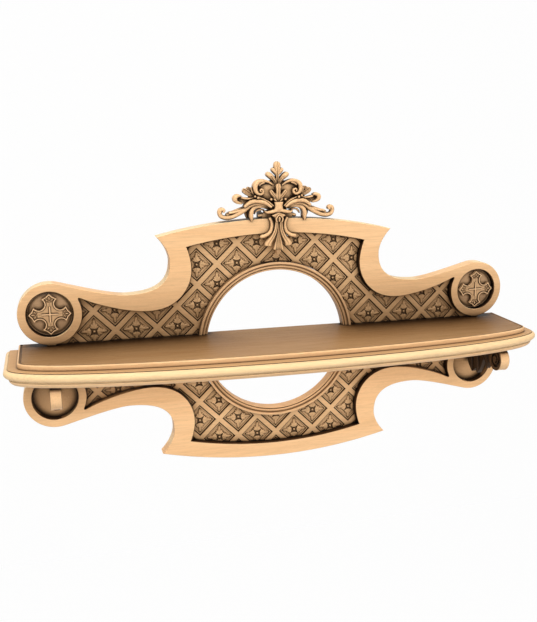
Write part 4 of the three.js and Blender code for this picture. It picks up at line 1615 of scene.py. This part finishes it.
@dataclass
class Crest:
    """The acanthus carving on top of the arch, with a tail down its front."""

    board: Backboard
    hardware: Hardware
    front_of_frame: float = 18.3

    def scrolls(self) -> list[Blade]:
        """The C scrolls round the domed ground, and the folds on them.

        Returns:
            The scrolls of the right half.
        """
        return [
            Blade([(6, 42.5, 1.0, 17), (11.7, 46.6, 1.4, 18), (18.1, 48.4, 1.8, 18.5),
                   (24.2, 48, 2.3, 19.5), (28.8, 45, 2.8, 20.5), (30.6, 40.6, 3, 21), (30, 36, 2.8, 21),
                   (27.6, 32.6, 2.3, 21), (23.8, 31.6, 1.9, 21), (21, 33.6, 1.7, 21),
                   (20.9, 36.4, 1.5, 21), (23, 37.9, 1.3, 21.3), (24.6, 36.6, 1.1, 21.6),
                   (24, 35.2, 0.9, 22)]),
            Blade([(18, 46.4, 1.0, 18), (22.2, 45.4, 1.5, 18.5), (25.2, 43, 1.3, 18.5)]),
            Blade([(31.3, 28.6, 0.6, 19.5), (22.7, 26.2, 0.75, 20.5), (14.1, 21.9, 0.75, 21.5),
                   (7.3, 16.4, 0.7, 22.5)]),
        ]

    def arms(self) -> list[Blade]:
        """The long arms, their upper leaves and the rolled lobes above them.

        Returns:
            The arms of the right half.
        """
        return [
            Blade([(9.9, 12.9, 2.4, 18), (19.9, 17.9, 2.6, 18.5), (29.9, 19, 2.7, 18.5),
                   (36.9, 16.4, 2.8, 18.5), (43.9, 11.4, 3, 18), (50.9, 7.5, 3, 17.5), (59.3, 3.4, 3, 17),
                   (67.6, 1.6, 2.9, 16), (74.6, 3.3, 2.8, 15.5), (76.9, 8.2, 2.9, 15.5),
                   (75.8, 11.6, 2.9, 16), (73.2, 12.4, 2.6, 16.5), (71.6, 11, 2.0, 16.5),
                   (72.5, 9.6, 1.2, 17)]),
            Blade([(9.6, 14.7, 1.8, 22.5), (17.4, 20, 2.5, 22.5), (26.7, 22.5, 2.7, 22),
                   (34.9, 22.1, 2.6, 21.5), (41.1, 18.8, 2.3, 20.5), (44, 16.4, 1.9, 20)]),
            Blade([(45.8, 12.3, 1.0, 17), (55.1, 9.5, 1.5, 17), (64.5, 8, 1.5, 16.5)]),
            Blade([(40, 15, 2.5, 14), (50.9, 9.5, 4, 14), (60, 6, 4.2, 14), (66, 5, 3.2, 14)]),
            Blade([(32.1, 23.4, 2, 15), (42.1, 22.7, 3.4, 15.2), (50.7, 24.1, 4.4, 15),
                   (55.5, 26.2, 4.3, 14.5)], Section.HOLLOW),
            Blade([(48.5, 29.4, 0.8, 16), (53, 29.8, 2.1, 17.5), (56.4, 27.8, 2.8, 18),
                   (56.8, 24.6, 2.8, 18), (54.2, 21.6, 2.1, 17), (48.5, 19.8, 1.2, 16)]),
            Blade([(30.4, 26.9, 1.0, 16), (39.7, 25.6, 1.5, 17), (48, 27.3, 1.2, 16.5)]),
            Blade([(31.6, 28.2, 1.8, 14), (38.6, 32.4, 3.4, 15.5), (43.2, 35.6, 3.6, 16)], Section.HOLLOW),
            Blade([(32, 30, 1.5, 13.5), (36.8, 36, 2.4, 15), (38.4, 38.6, 2.3, 15)], Section.HOLLOW),
            Blade([(30.5, 29.5, 1.0, 15), (33.6, 34, 1.4, 16.5), (35.2, 39, 1.2, 16)]),
            Blade([(22, 25.5, 3, 12.8), (30, 27.6, 3.2, 13), (36, 27.4, 2.6, 13)]),
        ]

    def hooks(self) -> list[Blade]:
        """The leaves that hook down over the arch, and the curls on it.

        Returns:
            The hooks of the right half.
        """
        return [
            Blade([(13.9, 12.4, 1.2, 17), (21.5, 15.2, 1.9, 17.5), (28.5, 15, 2.4, 18),
                   (34, 12.4, 2.7, 20), (36.4, 7, 2.8, 21.5), (36.2, 1, 2.4, 21.5), (36, -3.6, 0.3, 20.5)],
                  capped=False),
            Blade([(38.5, 14, 1.5, 12), (41.6, 7.6, 2.2, 12), (40.2, 0.5, 1.2, 12)]),
            Blade([(17.6, 10.5, 0.9, 15), (24.7, 11.2, 1.2, 15.5), (29, 9, 1.1, 15.5),
                   (30.7, 5.5, 0.4, 15)]),
            Blade([(17.5, 4.2, 1.7, 13.5), (22, 3.4, 2.4, 14.5), (24.2, 2.8, 2.2, 14.5)]),
        ]

    def leaves(self) -> list[Blade]:
        """The lobes of the finial and of the palmette on the ground.

        Returns:
            The leaves of the right half.
        """
        return [
            Blade([(1, 56.5, 2, 15.5), (4, 60.6, 2.9, 16.5), (5.4, 62.2, 2.8, 16.5)]),
            Blade([(2, 44.5, 2.2, 15.5), (5, 49.6, 2.9, 16.5), (8.8, 53.9, 3.6, 17.5),
                   (12, 56.2, 3.4, 17.5)]),
            Blade([(2.6, 46.5, 0.5, 17), (5.6, 50.8, 0.6, 18.2), (8.4, 54, 0.4, 18.6)]),
            Blade([(2.5, 25, 2.2, 19.5), (5.5, 29.5, 2.5, 20.5), (8.2, 32.8, 2.5, 21),
                   (9.6, 34.6, 2.2, 21)], Section.VEINED),
            Blade([(2.2, 21, 1.2, 21), (5, 24.5, 1.2, 20.5)]),
        ]

    def tail(self) -> list[Blade]:
        """The stems and feet that hang down over the frame.

        Returns:
            The tail of the right half.
        """
        front = self.front_of_frame
        return [
            Blade([(1, 10.5, 2.6, 24), (7, 9.2, 2.5, 24), (12.5, 8.3, 2, 23.5), (16.3, 8.2, 1.4, 23),
                   (18.6, 10, 0.4, 22.5)], capped=False),
            Blade([(2.6, -3.9, 2, 24), (3.3, -10.3, 2.1, 23.5), (4.6, -17.4, 2.4, 23),
                   (8.3, -25.3, 3.2, 22.5), (12, -30.5, 4.2, 22.5), (13.6, -34, 4.9, 22.4),
                   (13.9, -36, 4.7, 22.2)], Section.VEINED, front, False),
            Blade([(12.1, 1, 1.6, 21), (9.1, -4.8, 2.1, 21.5), (8.7, -11.2, 2.4, 21.5),
                   (11.1, -18, 2.5, 21.5), (16.7, -22.2, 2.5, 21.5), (22.3, -23.6, 2.4, 21.5)],
                  Section.ROUND, front),
        ]

    def middle(self) -> list[Blade]:
        """The pieces on the axis, each its own mirror image.

        Returns:
            The pieces, from the top down and then the ground behind them.
        """
        front = self.front_of_frame
        return [
            Blade([(0, 45, 3.4, 15.5), (0, 52, 2.4, 16), (0, 58, 2.7, 16.5), (0, 64, 4.4, 17),
                   (0, 68.6, 4.3, 17)], Section.VEINED),
            Blade([(0, 24, 3.4, 20), (0, 31, 3.2, 21), (0, 37, 3.3, 22), (0, 41.3, 3.6, 22)],
                  Section.VEINED),
            Blade([(0, 21.5, 5.4, 19), (0, 26, 6.2, 19.5), (0, 30, 6.6, 20), (0, 33, 3.5, 20)]),
            Blade([(0, 8, 8.6, 23.5), (0, 12, 6.4, 24.5), (0, 15, 5.3, 24.5), (0, 18.6, 5.5, 24.5),
                   (0, 21.3, 6.6, 23.8)], capped=False),
            Blade([(0, 7.6, 0.6, 23), (0, 6.3, 5, 24.5), (0, 4, 9.2, 24.5), (0, 1.5, 6.3, 25),
                   (0, -1, 4.7, 25), (0, -3.5, 4.4, 24.5)], back=front, capped=False),
            Blade([(0, 2.6, 0.9, 26.2), (0, -0.4, 1.5, 26.8), (0, -3.4, 0.9, 26)], back=front),
            Blade([(-3.4, -4.4, 0.9, 26.2), (-4.2, 0.3, 0.9, 26.8), (0, 4.6, 0.9, 26.8),
                   (4.2, 0.3, 0.9, 26.8), (3.4, -4.4, 0.9, 26.2)], back=front),
            Blade([(0, -7, 0.5, 22), (0, -17, 1.3, 22), (0, -25, 3, 22), (0, -33, 5.2, 22.5),
                   (0, -39, 6.4, 22.5), (0, -41.2, 6.6, 22.5), (0, -41.8, 3.2, 22.3), (0, -44, 2.9, 22.3),
                   (0, -48.4, 0.3, 21.5)], Section.HOLLOW, front, False),
            Blade([(0, 18, 8, 12), (0, 22, 19, 13.5), (0, 27, 27, 14.5), (0, 35, 31, 15.3),
                   (0, 42, 30, 15), (0, 46.5, 20, 13.5), (0, 49, 5, 12.5)], Section.DOMED, 8.8),
        ]

    def beads(self) -> list[Solid]:
        """The pearls beside the palmette and on the arms.

        Returns:
            The pearls of both halves.
        """
        rows = ((9.6, 24.4, 19.3, 1.8), (27.6, 27.1, 21.6, 1.7), (31.6, 28.9, 20.8, 1.4))
        return [
            ellipsoid((hand.value * x, -depth, self.board.crown + up), (radius, radius, radius))
            for x, up, depth, radius in rows
            for hand in Hand
        ]

    def seat(self) -> Solid:
        """The plain block that rests on the arch and takes the dowels.

        Returns:
            The block.
        """
        top = self.board.crown
        right = ((0, -3), (21, -3), (19.5, 6.5), (13, 9), (8, 20), (0, 22))
        return plate(mirrored_outline([flat(x, top + up) for x, up in right]), 8, 14)

    def clear(self) -> Solid:
        """Everything that the frame takes up.

        Returns:
            The plate that is cut away.
        """
        board = self.board
        arch = arch_over(board.crown + GAP, board.arch_tip.x, board.arch_tip.y + GAP, 40)
        outline = mirrored_outline([*arch, flat(board.arch_tip.x, board.shelf_top)])
        return plate(outline, -1, board.thick + GAP)

    def build(self, material: Material) -> bpy.types.Object:
        """Builds the crest as one solid.

        Args:
            material: Its finish.

        Returns:
            The finished crest.
        """
        crown = self.board.crown
        halves = [*self.scrolls(), *self.arms(), *self.hooks(), *self.leaves(), *self.tail()]
        solids = [blade.solid(crown) for blade in halves]
        solids += [mirrored(solid) for solid in solids]
        solids += [blade.solid(crown) for blade in self.middle()]
        solids += self.beads()
        body = combined(self.seat(), solids, Cut.JOIN)
        holes = [self.hardware.crest_dowel_hole(hand) for hand in Hand]
        body = combined(body, [self.clear(), *holes], Cut.REMOVE)
        return finished("crest_acanthus", body, material, ["crest"], 42)


@dataclass
class Medallions:
    """Domed discs in the upper round ends, each with a cross in relief.

    The cross is its square arms with a round notch between every two of them.
    """

    board: Backboard
    dome_front: float = 12.4
    cross_front: float = 17.2
    notch: float = 13.1
    notch_r: float = 7.5
    reach: float = 25.9
    end_slope: Vector = field(default_factory=lambda: flat(0.575, 0.818))
    tip_rise: float = 0.7
    rim: float = 1.1
    sunk: float = 1.5
    groove: float = 1.0
    groove_depth: float = 2.2
    end_inset: float = 2.7
    end_start: float = 15.2
    end_depth: float = 2.1
    eye_reach: float = 13.2
    eye_r: float = 1.0
    eye_depth: float = 1.8
    rib_half: float = 0.75
    rib_reach: float = 10.3
    petals: Sequence[tuple[float, float, float, tuple[float, float, float], float]] = (
        (0, 2.3, 20.9, (1.15, 1.9, 2.9), 0),
        (3.3, 2.3, 18.4, (1.0, 1.8, 2.5), math.radians(52)),
        (-3.3, 2.3, 18.4, (1.0, 1.8, 2.5), math.radians(-52)),
        (0, 2.0, 16.5, (0.9, 1.4, 0.9), 0),
    )

    def arm_line(self, inset: float) -> Line:
        """Edge of an arm from the bottom of a notch to the arm's tip, moved in by inset.

        Args:
            inset: How far the edge is moved in.

        Returns:
            The points of the edge.
        """
        out = self.end_slope.normalized()
        radius = self.notch_r + inset
        centre = flat(self.notch, self.notch)
        tip = flat(0, self.reach - inset / out.y)
        corner = math.atan2(out.y, out.x) + math.acos((tip - centre).dot(out) / radius)
        edge = arc(*centre, radius, 1.25 * math.pi, corner, 14)
        return [*edge, (edge[-1] + tip) / 2 - out * self.tip_rise, tip]

    def outline(self, inset: float) -> Line:
        """The cross's outline about its own middle, moved in by inset.

        Args:
            inset: How far the outline is moved in.

        Returns:
            The closed outline.
        """
        line = self.arm_line(inset)
        arm = [*line, *(flat(-p.x, p.y) for p in reversed(line[1:-1]))]
        turns = [Matrix.Rotation(quarter * math.pi / 2, 2) for quarter in range(4)]
        return [turn @ p for turn in turns for p in arm]

    def cross(self) -> Solid:
        """The cross about its own middle.

        Returns:
            The cross.
        """
        front = self.cross_front
        over = front + 1
        groove = combined(
            plate(self.outline(self.rim), front - self.groove_depth, over),
            [plate(self.outline(self.rim + self.groove), front - self.groove_depth - 0.2, over + 1)],
            Cut.REMOVE,
        )
        ends = combined(plate(self.outline(self.end_inset), front - self.end_depth, over),
                        [bar(Vector((0, -front, 0)), self.end_start, 8, "y", 64)], Cut.REMOVE)
        cuts = [plate(self.outline(self.rim), front - self.sunk, over), groove, ends]
        raised = []
        for quarter in range(4):
            turn = Matrix.Rotation(quarter * math.pi / 2, 4, "Y")
            eye = bar(Vector((0, -front, self.eye_reach)), self.eye_r, 2 * self.eye_depth, "y", 20)
            cuts.append(moved(eye, turn))
            for side in Side:
                edges = sorted((0.7 * side.value, 1.4 * side.value))
                cuts.append(moved(block((edges[0], -over, 0.7), (edges[1], self.end_depth - front, 10.2)),
                                  turn))
            raised += [moved(ellipsoid((x, sunk - front, z), radii, lean), turn)
                       for x, sunk, z, radii, lean in self.petals]
        body = combined(plate(self.outline(0), self.dome_front + 0.05, front), cuts, Cut.REMOVE)
        half, reach = self.rib_half, self.rib_reach
        ribs = [block((-half, 0.1 - front, -reach), (half, 2.4 - front, reach)),
                block((-reach, 0.1 - front, -half), (reach, 2.4 - front, half))]
        return combined(body, [*ribs, *raised], Cut.JOIN)

    def disc(self) -> Solid:
        """The domed disc about its own middle.

        Returns:
            The disc.
        """
        radius = self.board.recess_r - GAP
        floor = self.board.thick - self.board.recess_depth + GAP
        top = self.dome_front
        return turned([
            (0, floor), (radius, floor), (radius, top - 2.3), (radius - 0.5, top - 2.0),
            (radius - 1.3, top - 2.4), (radius - 2.1, top - 2.2), (radius - 3.4, top - 1.5),
            (radius - 5.2, top - 0.8), (radius - 8, top - 0.25), (radius - 12, top), (0, top),
        ], 96)

    def build(self, ground: Material, relief: Material) -> None:
        """Builds the discs and the crosses at both ends.

        Args:
            ground: The finish of the discs.
            relief: The finish of the crosses.
        """
        x, z = self.board.roundel
        for hand in Hand:
            place = Matrix.Translation((hand.value * x, 0, z))
            end = hand.name.lower()
            finished(f"{end}_medallion_dome", moved(self.disc(), place), ground,
                     [f"{end}_medallion_disc"], 50)
            finished(f"{end}_medallion_relief", moved(self.cross(), place), relief,
                     [f"{end}_medallion_cross"], 40)


@dataclass
class Consoles:
    """Scroll consoles under the shelf: an arm with a rolled end, and an acanthus leaf behind it.

    They are drawn in the side view, as depth and height, and built about their middle plane.
    """

    board: Backboard
    hardware: Hardware
    half: float = 6.75
    leaf_half: float = 2.8
    roll_depth: float = 93.5
    roll_r: float = 15.5
    volute_turns: float = 1.4
    volute_outer: float = 13.4
    volute_end: float = 5.2
    volute_cut: float = 2.1
    volute_width: float = 5.4
    volute_narrowing: float = 3.4
    volute_start: float = 0.25
    lobe_back: float = -0.5
    arm_edge: Sequence[tuple[float, float]] = (
        (80, -22), (72, -24.5), (62, -22.5), (48, -21.5), (34, -24),
    )
    leaf_edge: Sequence[tuple[float, float]] = (
        (31, -22), (71, -24), (72, -38), (67, -48.8), (63, -42), (58.5, -37.9), (55, -42), (53, -47.8),
        (48, -57), (42.8, -62.9), (39.5, -58.5), (37.2, -57.7), (33, -61), (28.8, -64.5), (25, -62.5),
        (22.2, -58.8), (17, -54.5), (13.5, -50.9),
    )

    @property
    def top(self) -> float:
        """Height of the top, just under the shelf."""
        return self.board.shelf_bottom - GAP

    @property
    def eye(self) -> Vector:
        """Middle of the roll in the side view."""
        return flat(self.roll_depth, self.top - self.roll_r)

    def upright(self, bm: Solid) -> Solid:
        """Turns a form from the drawing plane into the side plane."""
        return moved(bm, Matrix.Rotation(-math.pi / 2, 4, "Z"))

    def roll(self) -> Solid:
        """The roll, a little hollow across its width.

        Returns:
            The roll in its place.
        """
        r, w = self.roll_r, self.half
        side = [(r - 0.5, w), (r, w - 0.5), (r, w - 1.0), (r - 0.2, w - 1.9), (r - 0.3, w - 3.4)]
        profile = [(0, -w), *((a, -b) for a, b in side), (r - 0.32, 0), *reversed(side), (0, w)]
        form = self.upright(turned(profile, 72))
        bmesh.ops.translate(form, verts=form.verts, vec=(0, -self.eye.x, self.eye.y))
        return form

    def volute(self) -> Solid:
        """The spiral channel that is cut into one side of the roll.

        Returns:
            The channel in its place.
        """
        outer, inner = [], []
        steps = 64
        for i in range(steps + 1):
            share = i / steps
            angle = math.pi / 2 - 2 * math.pi * self.volute_turns * share - self.volute_start
            reach = self.volute_outer + (self.volute_end - self.volute_outer) * share
            width = self.volute_width - self.volute_narrowing * share
            width *= math.sin(math.pi * min(0.12 + 1.6 * share, 0.5))
            ray = flat(math.cos(angle), math.sin(angle))
            outer.append(self.eye + ray * reach)
            inner.append(self.eye + ray * (reach - width))
        return self.upright(plate(outer + inner[::-1], self.half - self.volute_cut, self.half + 2))

    def web(self) -> list[Solid]:
        """The arm, the seat in the round recess and the thin web between the lobes.

        Returns:
            The two plates.
        """
        front = self.board.thick + GAP
        seat = self.board.thick - self.board.recess_depth + GAP
        top = self.top
        arm = [flat(front, top), flat(self.roll_depth, top), flat(self.roll_depth, -20),
               *(flat(*p) for p in self.arm_edge), flat(front, -27.8)]
        leaf = [flat(seat, -28.2), *(flat(*p) for p in self.leaf_edge), flat(seat, -46.2)]
        return [self.upright(plate(arm, -self.half + 0.15, self.half - 0.15)),
                self.upright(plate(leaf, -self.leaf_half, self.leaf_half))]

    def lobes(self) -> list[Blade]:
        """The acanthus lobes on one side, as (depth, height, half width, rise from the middle).

        Returns:
            The veined lobes, then the rib along their tops.
        """
        veined = (
            [(31, -19, 3, 6.2), (24, -31, 5, 6.6), (21.5, -45, 7.4, 6.2), (24, -55, 5.2, 5.2),
             (28.6, -63.8, 0.6, 4)],
            [(40, -19, 3, 6.2), (38.5, -33, 5.8, 6.6), (40, -46, 6.4, 6), (42.4, -56, 4.2, 5),
             (42.8, -62.4, 0.6, 3.8)],
            [(47, -18, 3, 6.2), (56, -27, 4.2, 6.4), (64.5, -35.5, 5.0, 5.4), (67.4, -43, 2.8, 4.4),
             (67.1, -48.2, 0.5, 3.4)],
            [(24, -24, 2.5, 6), (17.5, -34, 4, 6.2), (12.8, -43, 3.2, 5.6), (13.4, -50.2, 0.6, 4.4)],
        )
        rib = [(74, -19.5, 1.8, 5.6), (63, -20.5, 2.1, 6.6), (48, -18.5, 1.9, 6.6), (30, -19, 1.7, 6.4)]
        lobes = [Blade(points, Section.VEINED, self.lobe_back, False) for points in veined]
        return [*lobes, Blade(rib, Section.ROUND, self.lobe_back)]

    def form(self) -> Solid:
        """A console about its middle plane, without its screw holes.

        Returns:
            The console.
        """
        lobes = [self.upright(lobe.solid(0)) for lobe in self.lobes()]
        solids = [*self.web(), *lobes, *[mirrored(lobe) for lobe in lobes]]
        body = combined(self.roll(), solids, Cut.JOIN)
        volute = self.volute()
        return combined(body, [mirrored(volute), volute], Cut.REMOVE)

    def build(self, material: Material) -> None:
        """Builds the consoles at both ends.

        Args:
            material: Their finish.
        """
        for hand in Hand:
            place = Matrix.Translation((hand.value * self.hardware.console_x, 0, 0))
            body = combined(moved(self.form(), place), self.hardware.console_holes(hand), Cut.REMOVE)
            end = hand.name.lower()
            finished(f"{end}_console_carved", body, material, [f"{end}_console"], 35)


@dataclass(frozen=True)
class Screw:
    """A countersunk screw with a cross recess in its head."""

    radius: float
    head_r: float
    head_height: float
    length: float
    rim: float = 0.4
    pitch: float = 1.3
    core_share: float = 0.72
    shank_share: float = 0.9
    plain_share: float = 0.28
    slot_half: float = 0.4

    def profile(self) -> list[tuple[float, float]]:
        """Half section as (radius, distance from the head), with a ridged thread.

        Returns:
            The points, from the head to the tip.
        """
        core = self.radius * self.core_share
        shank = self.radius * self.shank_share
        start = self.head_height + self.plain_share * self.length
        points = [(0, 0), (self.head_r - 0.1, 0), (self.head_r, 0.1), (self.head_r, self.rim),
                  (shank, self.head_height), (shank, start)]
        along = start
        while along < self.length - self.radius - self.pitch:
            points += [(core, along + 0.1), (core, along + self.pitch - 0.5),
                       (self.radius, along + self.pitch - 0.2), (self.radius, along + self.pitch - 0.1)]
            along += self.pitch
        return [*points, (core, self.length - self.radius), (0, self.length)]

    def solid(self) -> Solid:
        """The screw with its head at the origin, pointing towards -Y.

        Returns:
            The screw.
        """
        reach, deep = 0.55 * self.head_r, 0.7 * self.head_height
        half = self.slot_half
        slots = [block((-half, -deep, -reach), (half, 1, reach)),
                 block((-reach, -deep, -half), (reach, 1, half))]
        return combined(turned(self.profile(), 24), slots, Cut.REMOVE)


@dataclass
class Fixings:
    """The dowels, screws and hanger plates, each where the frame has it."""

    hardware: Hardware
    nodes: dict[str, bpy.types.Object]
    finishes: Finishes
    console_back: Screw = Screw(2, 4, 2.6, 35)
    console_shelf: Screw = Screw(2, 4, 2.6, 30)
    hanger: Screw = Screw(1.6, 3, 1.4, 13)
    flutes: int = 12
    flute_depth: float = 0.25
    slack: float = 0.05
    chamfer: float = 1

    def box(self, name: str) -> tuple[Vector, Vector]:
        """Lower and upper corner of a node of the frame, in millimetres.

        Args:
            name: The node's name.

        Returns:
            The two corners.
        """
        node = self.nodes[name]
        points = [node.matrix_world @ Vector(corner) / MM for corner in node.bound_box]
        return Vector(map(min, zip(*points))), Vector(map(max, zip(*points)))

    def dowel(self, name: str) -> None:
        """Builds a fluted dowel with chamfered ends.

        Args:
            name: The node's name.
        """
        low, high = self.box(name)
        middle = (low + high) / 2
        sections = []
        for height, share in (
            (low.z, 0.8), (low.z + self.chamfer, 1), (high.z - self.chamfer, 1), (high.z, 0.8),
        ):
            ring = []
            for i in range(4 * self.flutes):
                angle = 2 * math.pi * i / (4 * self.flutes)
                reach = share * (self.hardware.dowel_r - (self.flute_depth if i % 4 == 2 else self.slack))
                spot = middle.to_2d() + flat(math.cos(angle), math.sin(angle)) * reach
                ring.append(Vector((*spot, height)))
            sections.append(ring)
        finished(f"{name}_fluted", swept(sections), self.finishes.dowel, [name])

    def screw(self, name: str, screw: Screw) -> None:
        """Builds a screw, its head at the back or at the top.

        Args:
            name: The node's name.
            screw: Its sizes.
        """
        low, high = self.box(name)
        middle = (low + high) / 2
        if high.z - low.z > high.y - low.y:
            place = Matrix.Translation((middle.x, middle.y, high.z)) @ Matrix.Rotation(math.pi / 2, 4, "X")
        else:
            place = Matrix.Translation((middle.x, high.y, middle.z))
        finished(f"{name}_threaded", moved(screw.solid(), place), self.finishes.steel, [name])

    def plate(self, hand: Hand) -> None:
        """Builds a hanger plate with its hole and two countersinks.

        Args:
            hand: The end of the shelf.
        """
        hardware = self.hardware
        low, high = self.box(f"{hand.name.lower()}_hanger_plate")
        body = plate(hardware.hanger_outline(hand, 0), 0, hardware.hanger_thick)
        x = hand.value * hardware.hanger_x
        cuts = [bar(Vector((x, -1, high.z - hardware.hole_drop)), hardware.hole_r, 8, "y", 48)]
        for number in range(1, 5):
            head_low, head_high = self.box(f"hanger_screw_{number}")
            centre = (head_low + head_high) / 2
            if abs(centre.x - x) < hardware.hanger_half:
                sink = turned([(0, -1), (self.hanger.head_r + GAP, -1), (self.hanger.head_r + GAP, 0.7),
                               (self.hanger.radius + GAP, 1.7), (self.hanger.radius + GAP, 4), (0, 4)], 32)
                cuts.append(moved(sink, Matrix.Translation((centre.x, 0, centre.z))))
        body = combined(body, cuts, Cut.REMOVE)
        name = f"{hand.name.lower()}_hanger_plate"
        finished(f"{name}_pressed", body, self.finishes.steel, [name], 30)

    def build(self) -> None:
        """Builds every fixing of the frame."""
        for name in self.nodes:
            if "dowel" in name:
                self.dowel(name)
            elif name.startswith("hanger_screw"):
                self.screw(name, self.hanger)
            elif name.endswith("back_screw"):
                self.screw(name, self.console_back)
            elif name.endswith("shelf_screw"):
                self.screw(name, self.console_shelf)
        for hand in Hand:
            self.plate(hand)


@dataclass(frozen=True)
class Lamp:
    """A square soft lamp, with its place, aim and side in metres and its power in watts."""

    name: str
    place: tuple[float, float, float]
    aim: tuple[float, float, float]
    side: float
    power: float
    colour: tuple[float, float, float] = (1, 1, 1)
    shadow: bool = True

    def build(self) -> None:
        """Adds the lamp."""
        data = bpy.data.lights.new(self.name, "AREA")
        data.shape = "SQUARE"
        data.size = self.side
        data.energy = self.power
        data.color = self.colour
        data.use_shadow = self.shadow
        obj = bpy.data.objects.new(self.name, data)
        obj.location = self.place
        obj.rotation_euler = (Vector(self.aim) - Vector(self.place)).to_track_quat("-Z", "Y").to_euler()
        bpy.context.scene.collection.objects.link(obj)


@dataclass
class Studio:
    """Camera, lamps, floor and backdrop."""

    place: Vector = field(default_factory=lambda: Vector((-0.28996, -1.03548, 0.29142)))
    yaw: float = math.radians(-15.227894629)
    pitch: float = math.radians(-13.304169368)
    roll: float = math.radians(0.031096517)
    focal_pixels: float = 805.024
    sensor: float = 36
    world: float = 0.45
    floor_height: float = -1.2
    backdrop_depth: float = 1.6
    floor_half: float = 6
    whiteness: float = 0.96
    matt: float = 0.86
    key: Lamp = Lamp("key", (-0.5, -1.7, 2.1), (0, 0, 0.03), 1.3, 66, (1.0, 0.97, 0.9), False)
    fill: Lamp = Lamp("fill", (1.6, -2.2, 0.3), (0, 0, 0), 1.6, 8)

    def camera(self) -> None:
        """Adds the camera at the photograph's viewpoint."""
        data = bpy.data.cameras.new("camera")
        data.sensor_width = self.sensor
        data.lens = self.focal_pixels * self.sensor / max(PHOTO_WIDTH, PHOTO_HEIGHT)
        data.clip_start = 0.01
        data.clip_end = 30
        obj = bpy.data.objects.new("camera", data)
        turn = (Matrix.Rotation(self.yaw, 3, "Z") @ Matrix.Rotation(self.pitch, 3, "X")
                @ Matrix.Rotation(self.roll, 3, "Y"))
        right, forward, up = turn.col
        axes = Matrix((right, up, -forward)).transposed()
        obj.matrix_world = Matrix.Translation(self.place) @ axes.to_4x4()
        bpy.context.scene.collection.objects.link(obj)
        bpy.context.scene.camera = obj

    def pale(self, name: str) -> Material:
        """A pale material that looks white to the camera and in reflections.

        Args:
            name: The material's name.

        Returns:
            The material.
        """
        tree = Tree(name)
        path = tree.add("LightPath")
        seen = tree.math("MAXIMUM", path.outputs["Is Camera Ray"], path.outputs["Is Glossy Ray"])
        seen = tree.math("MAXIMUM", seen, path.outputs["Is Transmission Ray"])
        matt = tree.add("BsdfDiffuse", Color=(self.matt, self.matt, self.matt, 1))
        white = tree.add("Emission", Color=(1, 1, 1, 1), Strength=1.0)
        mix = tree.add("MixShader", Fac=tree.math("MULTIPLY", seen, self.whiteness))
        tree.material.node_tree.links.new(matt.outputs[0], mix.inputs[1])
        tree.material.node_tree.links.new(white.outputs[0], mix.inputs[2])
        return tree.finish(mix)

    def surround(self) -> None:
        """Adds the floor and the backdrop."""
        for name, place, turn in (
            ("floor", (0, 0, self.floor_height), Matrix.Identity(4)),
            ("backdrop", (0, self.backdrop_depth, 0), Matrix.Rotation(math.pi / 2, 4, "X")),
        ):
            bm = bmesh.new()
            bmesh.ops.create_grid(bm, x_segments=1, y_segments=1, size=self.floor_half)
            bmesh.ops.transform(bm, matrix=Matrix.Translation(place) @ turn, verts=bm.verts)
            obj = placed(bm, name)
            obj.data.materials.append(self.pale(f"{name}_pale"))

    def daylight(self) -> None:
        """Adds the even light from all round, which the camera sees as white."""
        world = bpy.data.worlds.new("soft_light")
        world.use_nodes = True
        tree = world.node_tree
        background = tree.nodes["Background"]
        background.inputs["Color"].default_value = (1, 1, 1, 1)
        path = tree.nodes.new("ShaderNodeLightPath")
        strength = tree.nodes.new("ShaderNodeMapRange")
        strength.inputs["To Min"].default_value = self.world
        strength.inputs["To Max"].default_value = 1.0
        tree.links.new(path.outputs["Is Camera Ray"], strength.inputs["Value"])
        tree.links.new(strength.outputs["Result"], background.inputs["Strength"])
        bpy.context.scene.world = world

    def build(self) -> None:
        """Adds everything and sets the plain colour handling."""
        self.camera()
        self.surround()
        self.key.build()
        self.fill.build()
        self.daylight()
        bpy.context.scene.view_settings.view_transform = "Standard"


def main() -> None:
    """Builds the shelf piece by piece."""
    logging.basicConfig(level=logging.INFO, format="%(name)s %(message)s")
    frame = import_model()
    finishes = Finishes()
    studio = Studio()
    studio.build()
    board = Backboard()
    hardware = Hardware(board)
    frames = FrameBoards(board, hardware)
    panels = LatticePanels(board, hardware)
    rings = WindowRings(board, hardware)
    for side in Side:
        frames.build(side, finishes.board)
        panels.build(side, finishes.panel)
        rings.build(side, finishes.ring)
    ShelfBoards(board, hardware).build(finishes)
    Medallions(board).build(finishes.ground, finishes.relief)
    Consoles(board, hardware).build(finishes.console)
    Crest(board, hardware).build(finishes.carving)
    Fixings(hardware, frame["nodes"], finishes).build()


if __name__ == "__main__":
    main()
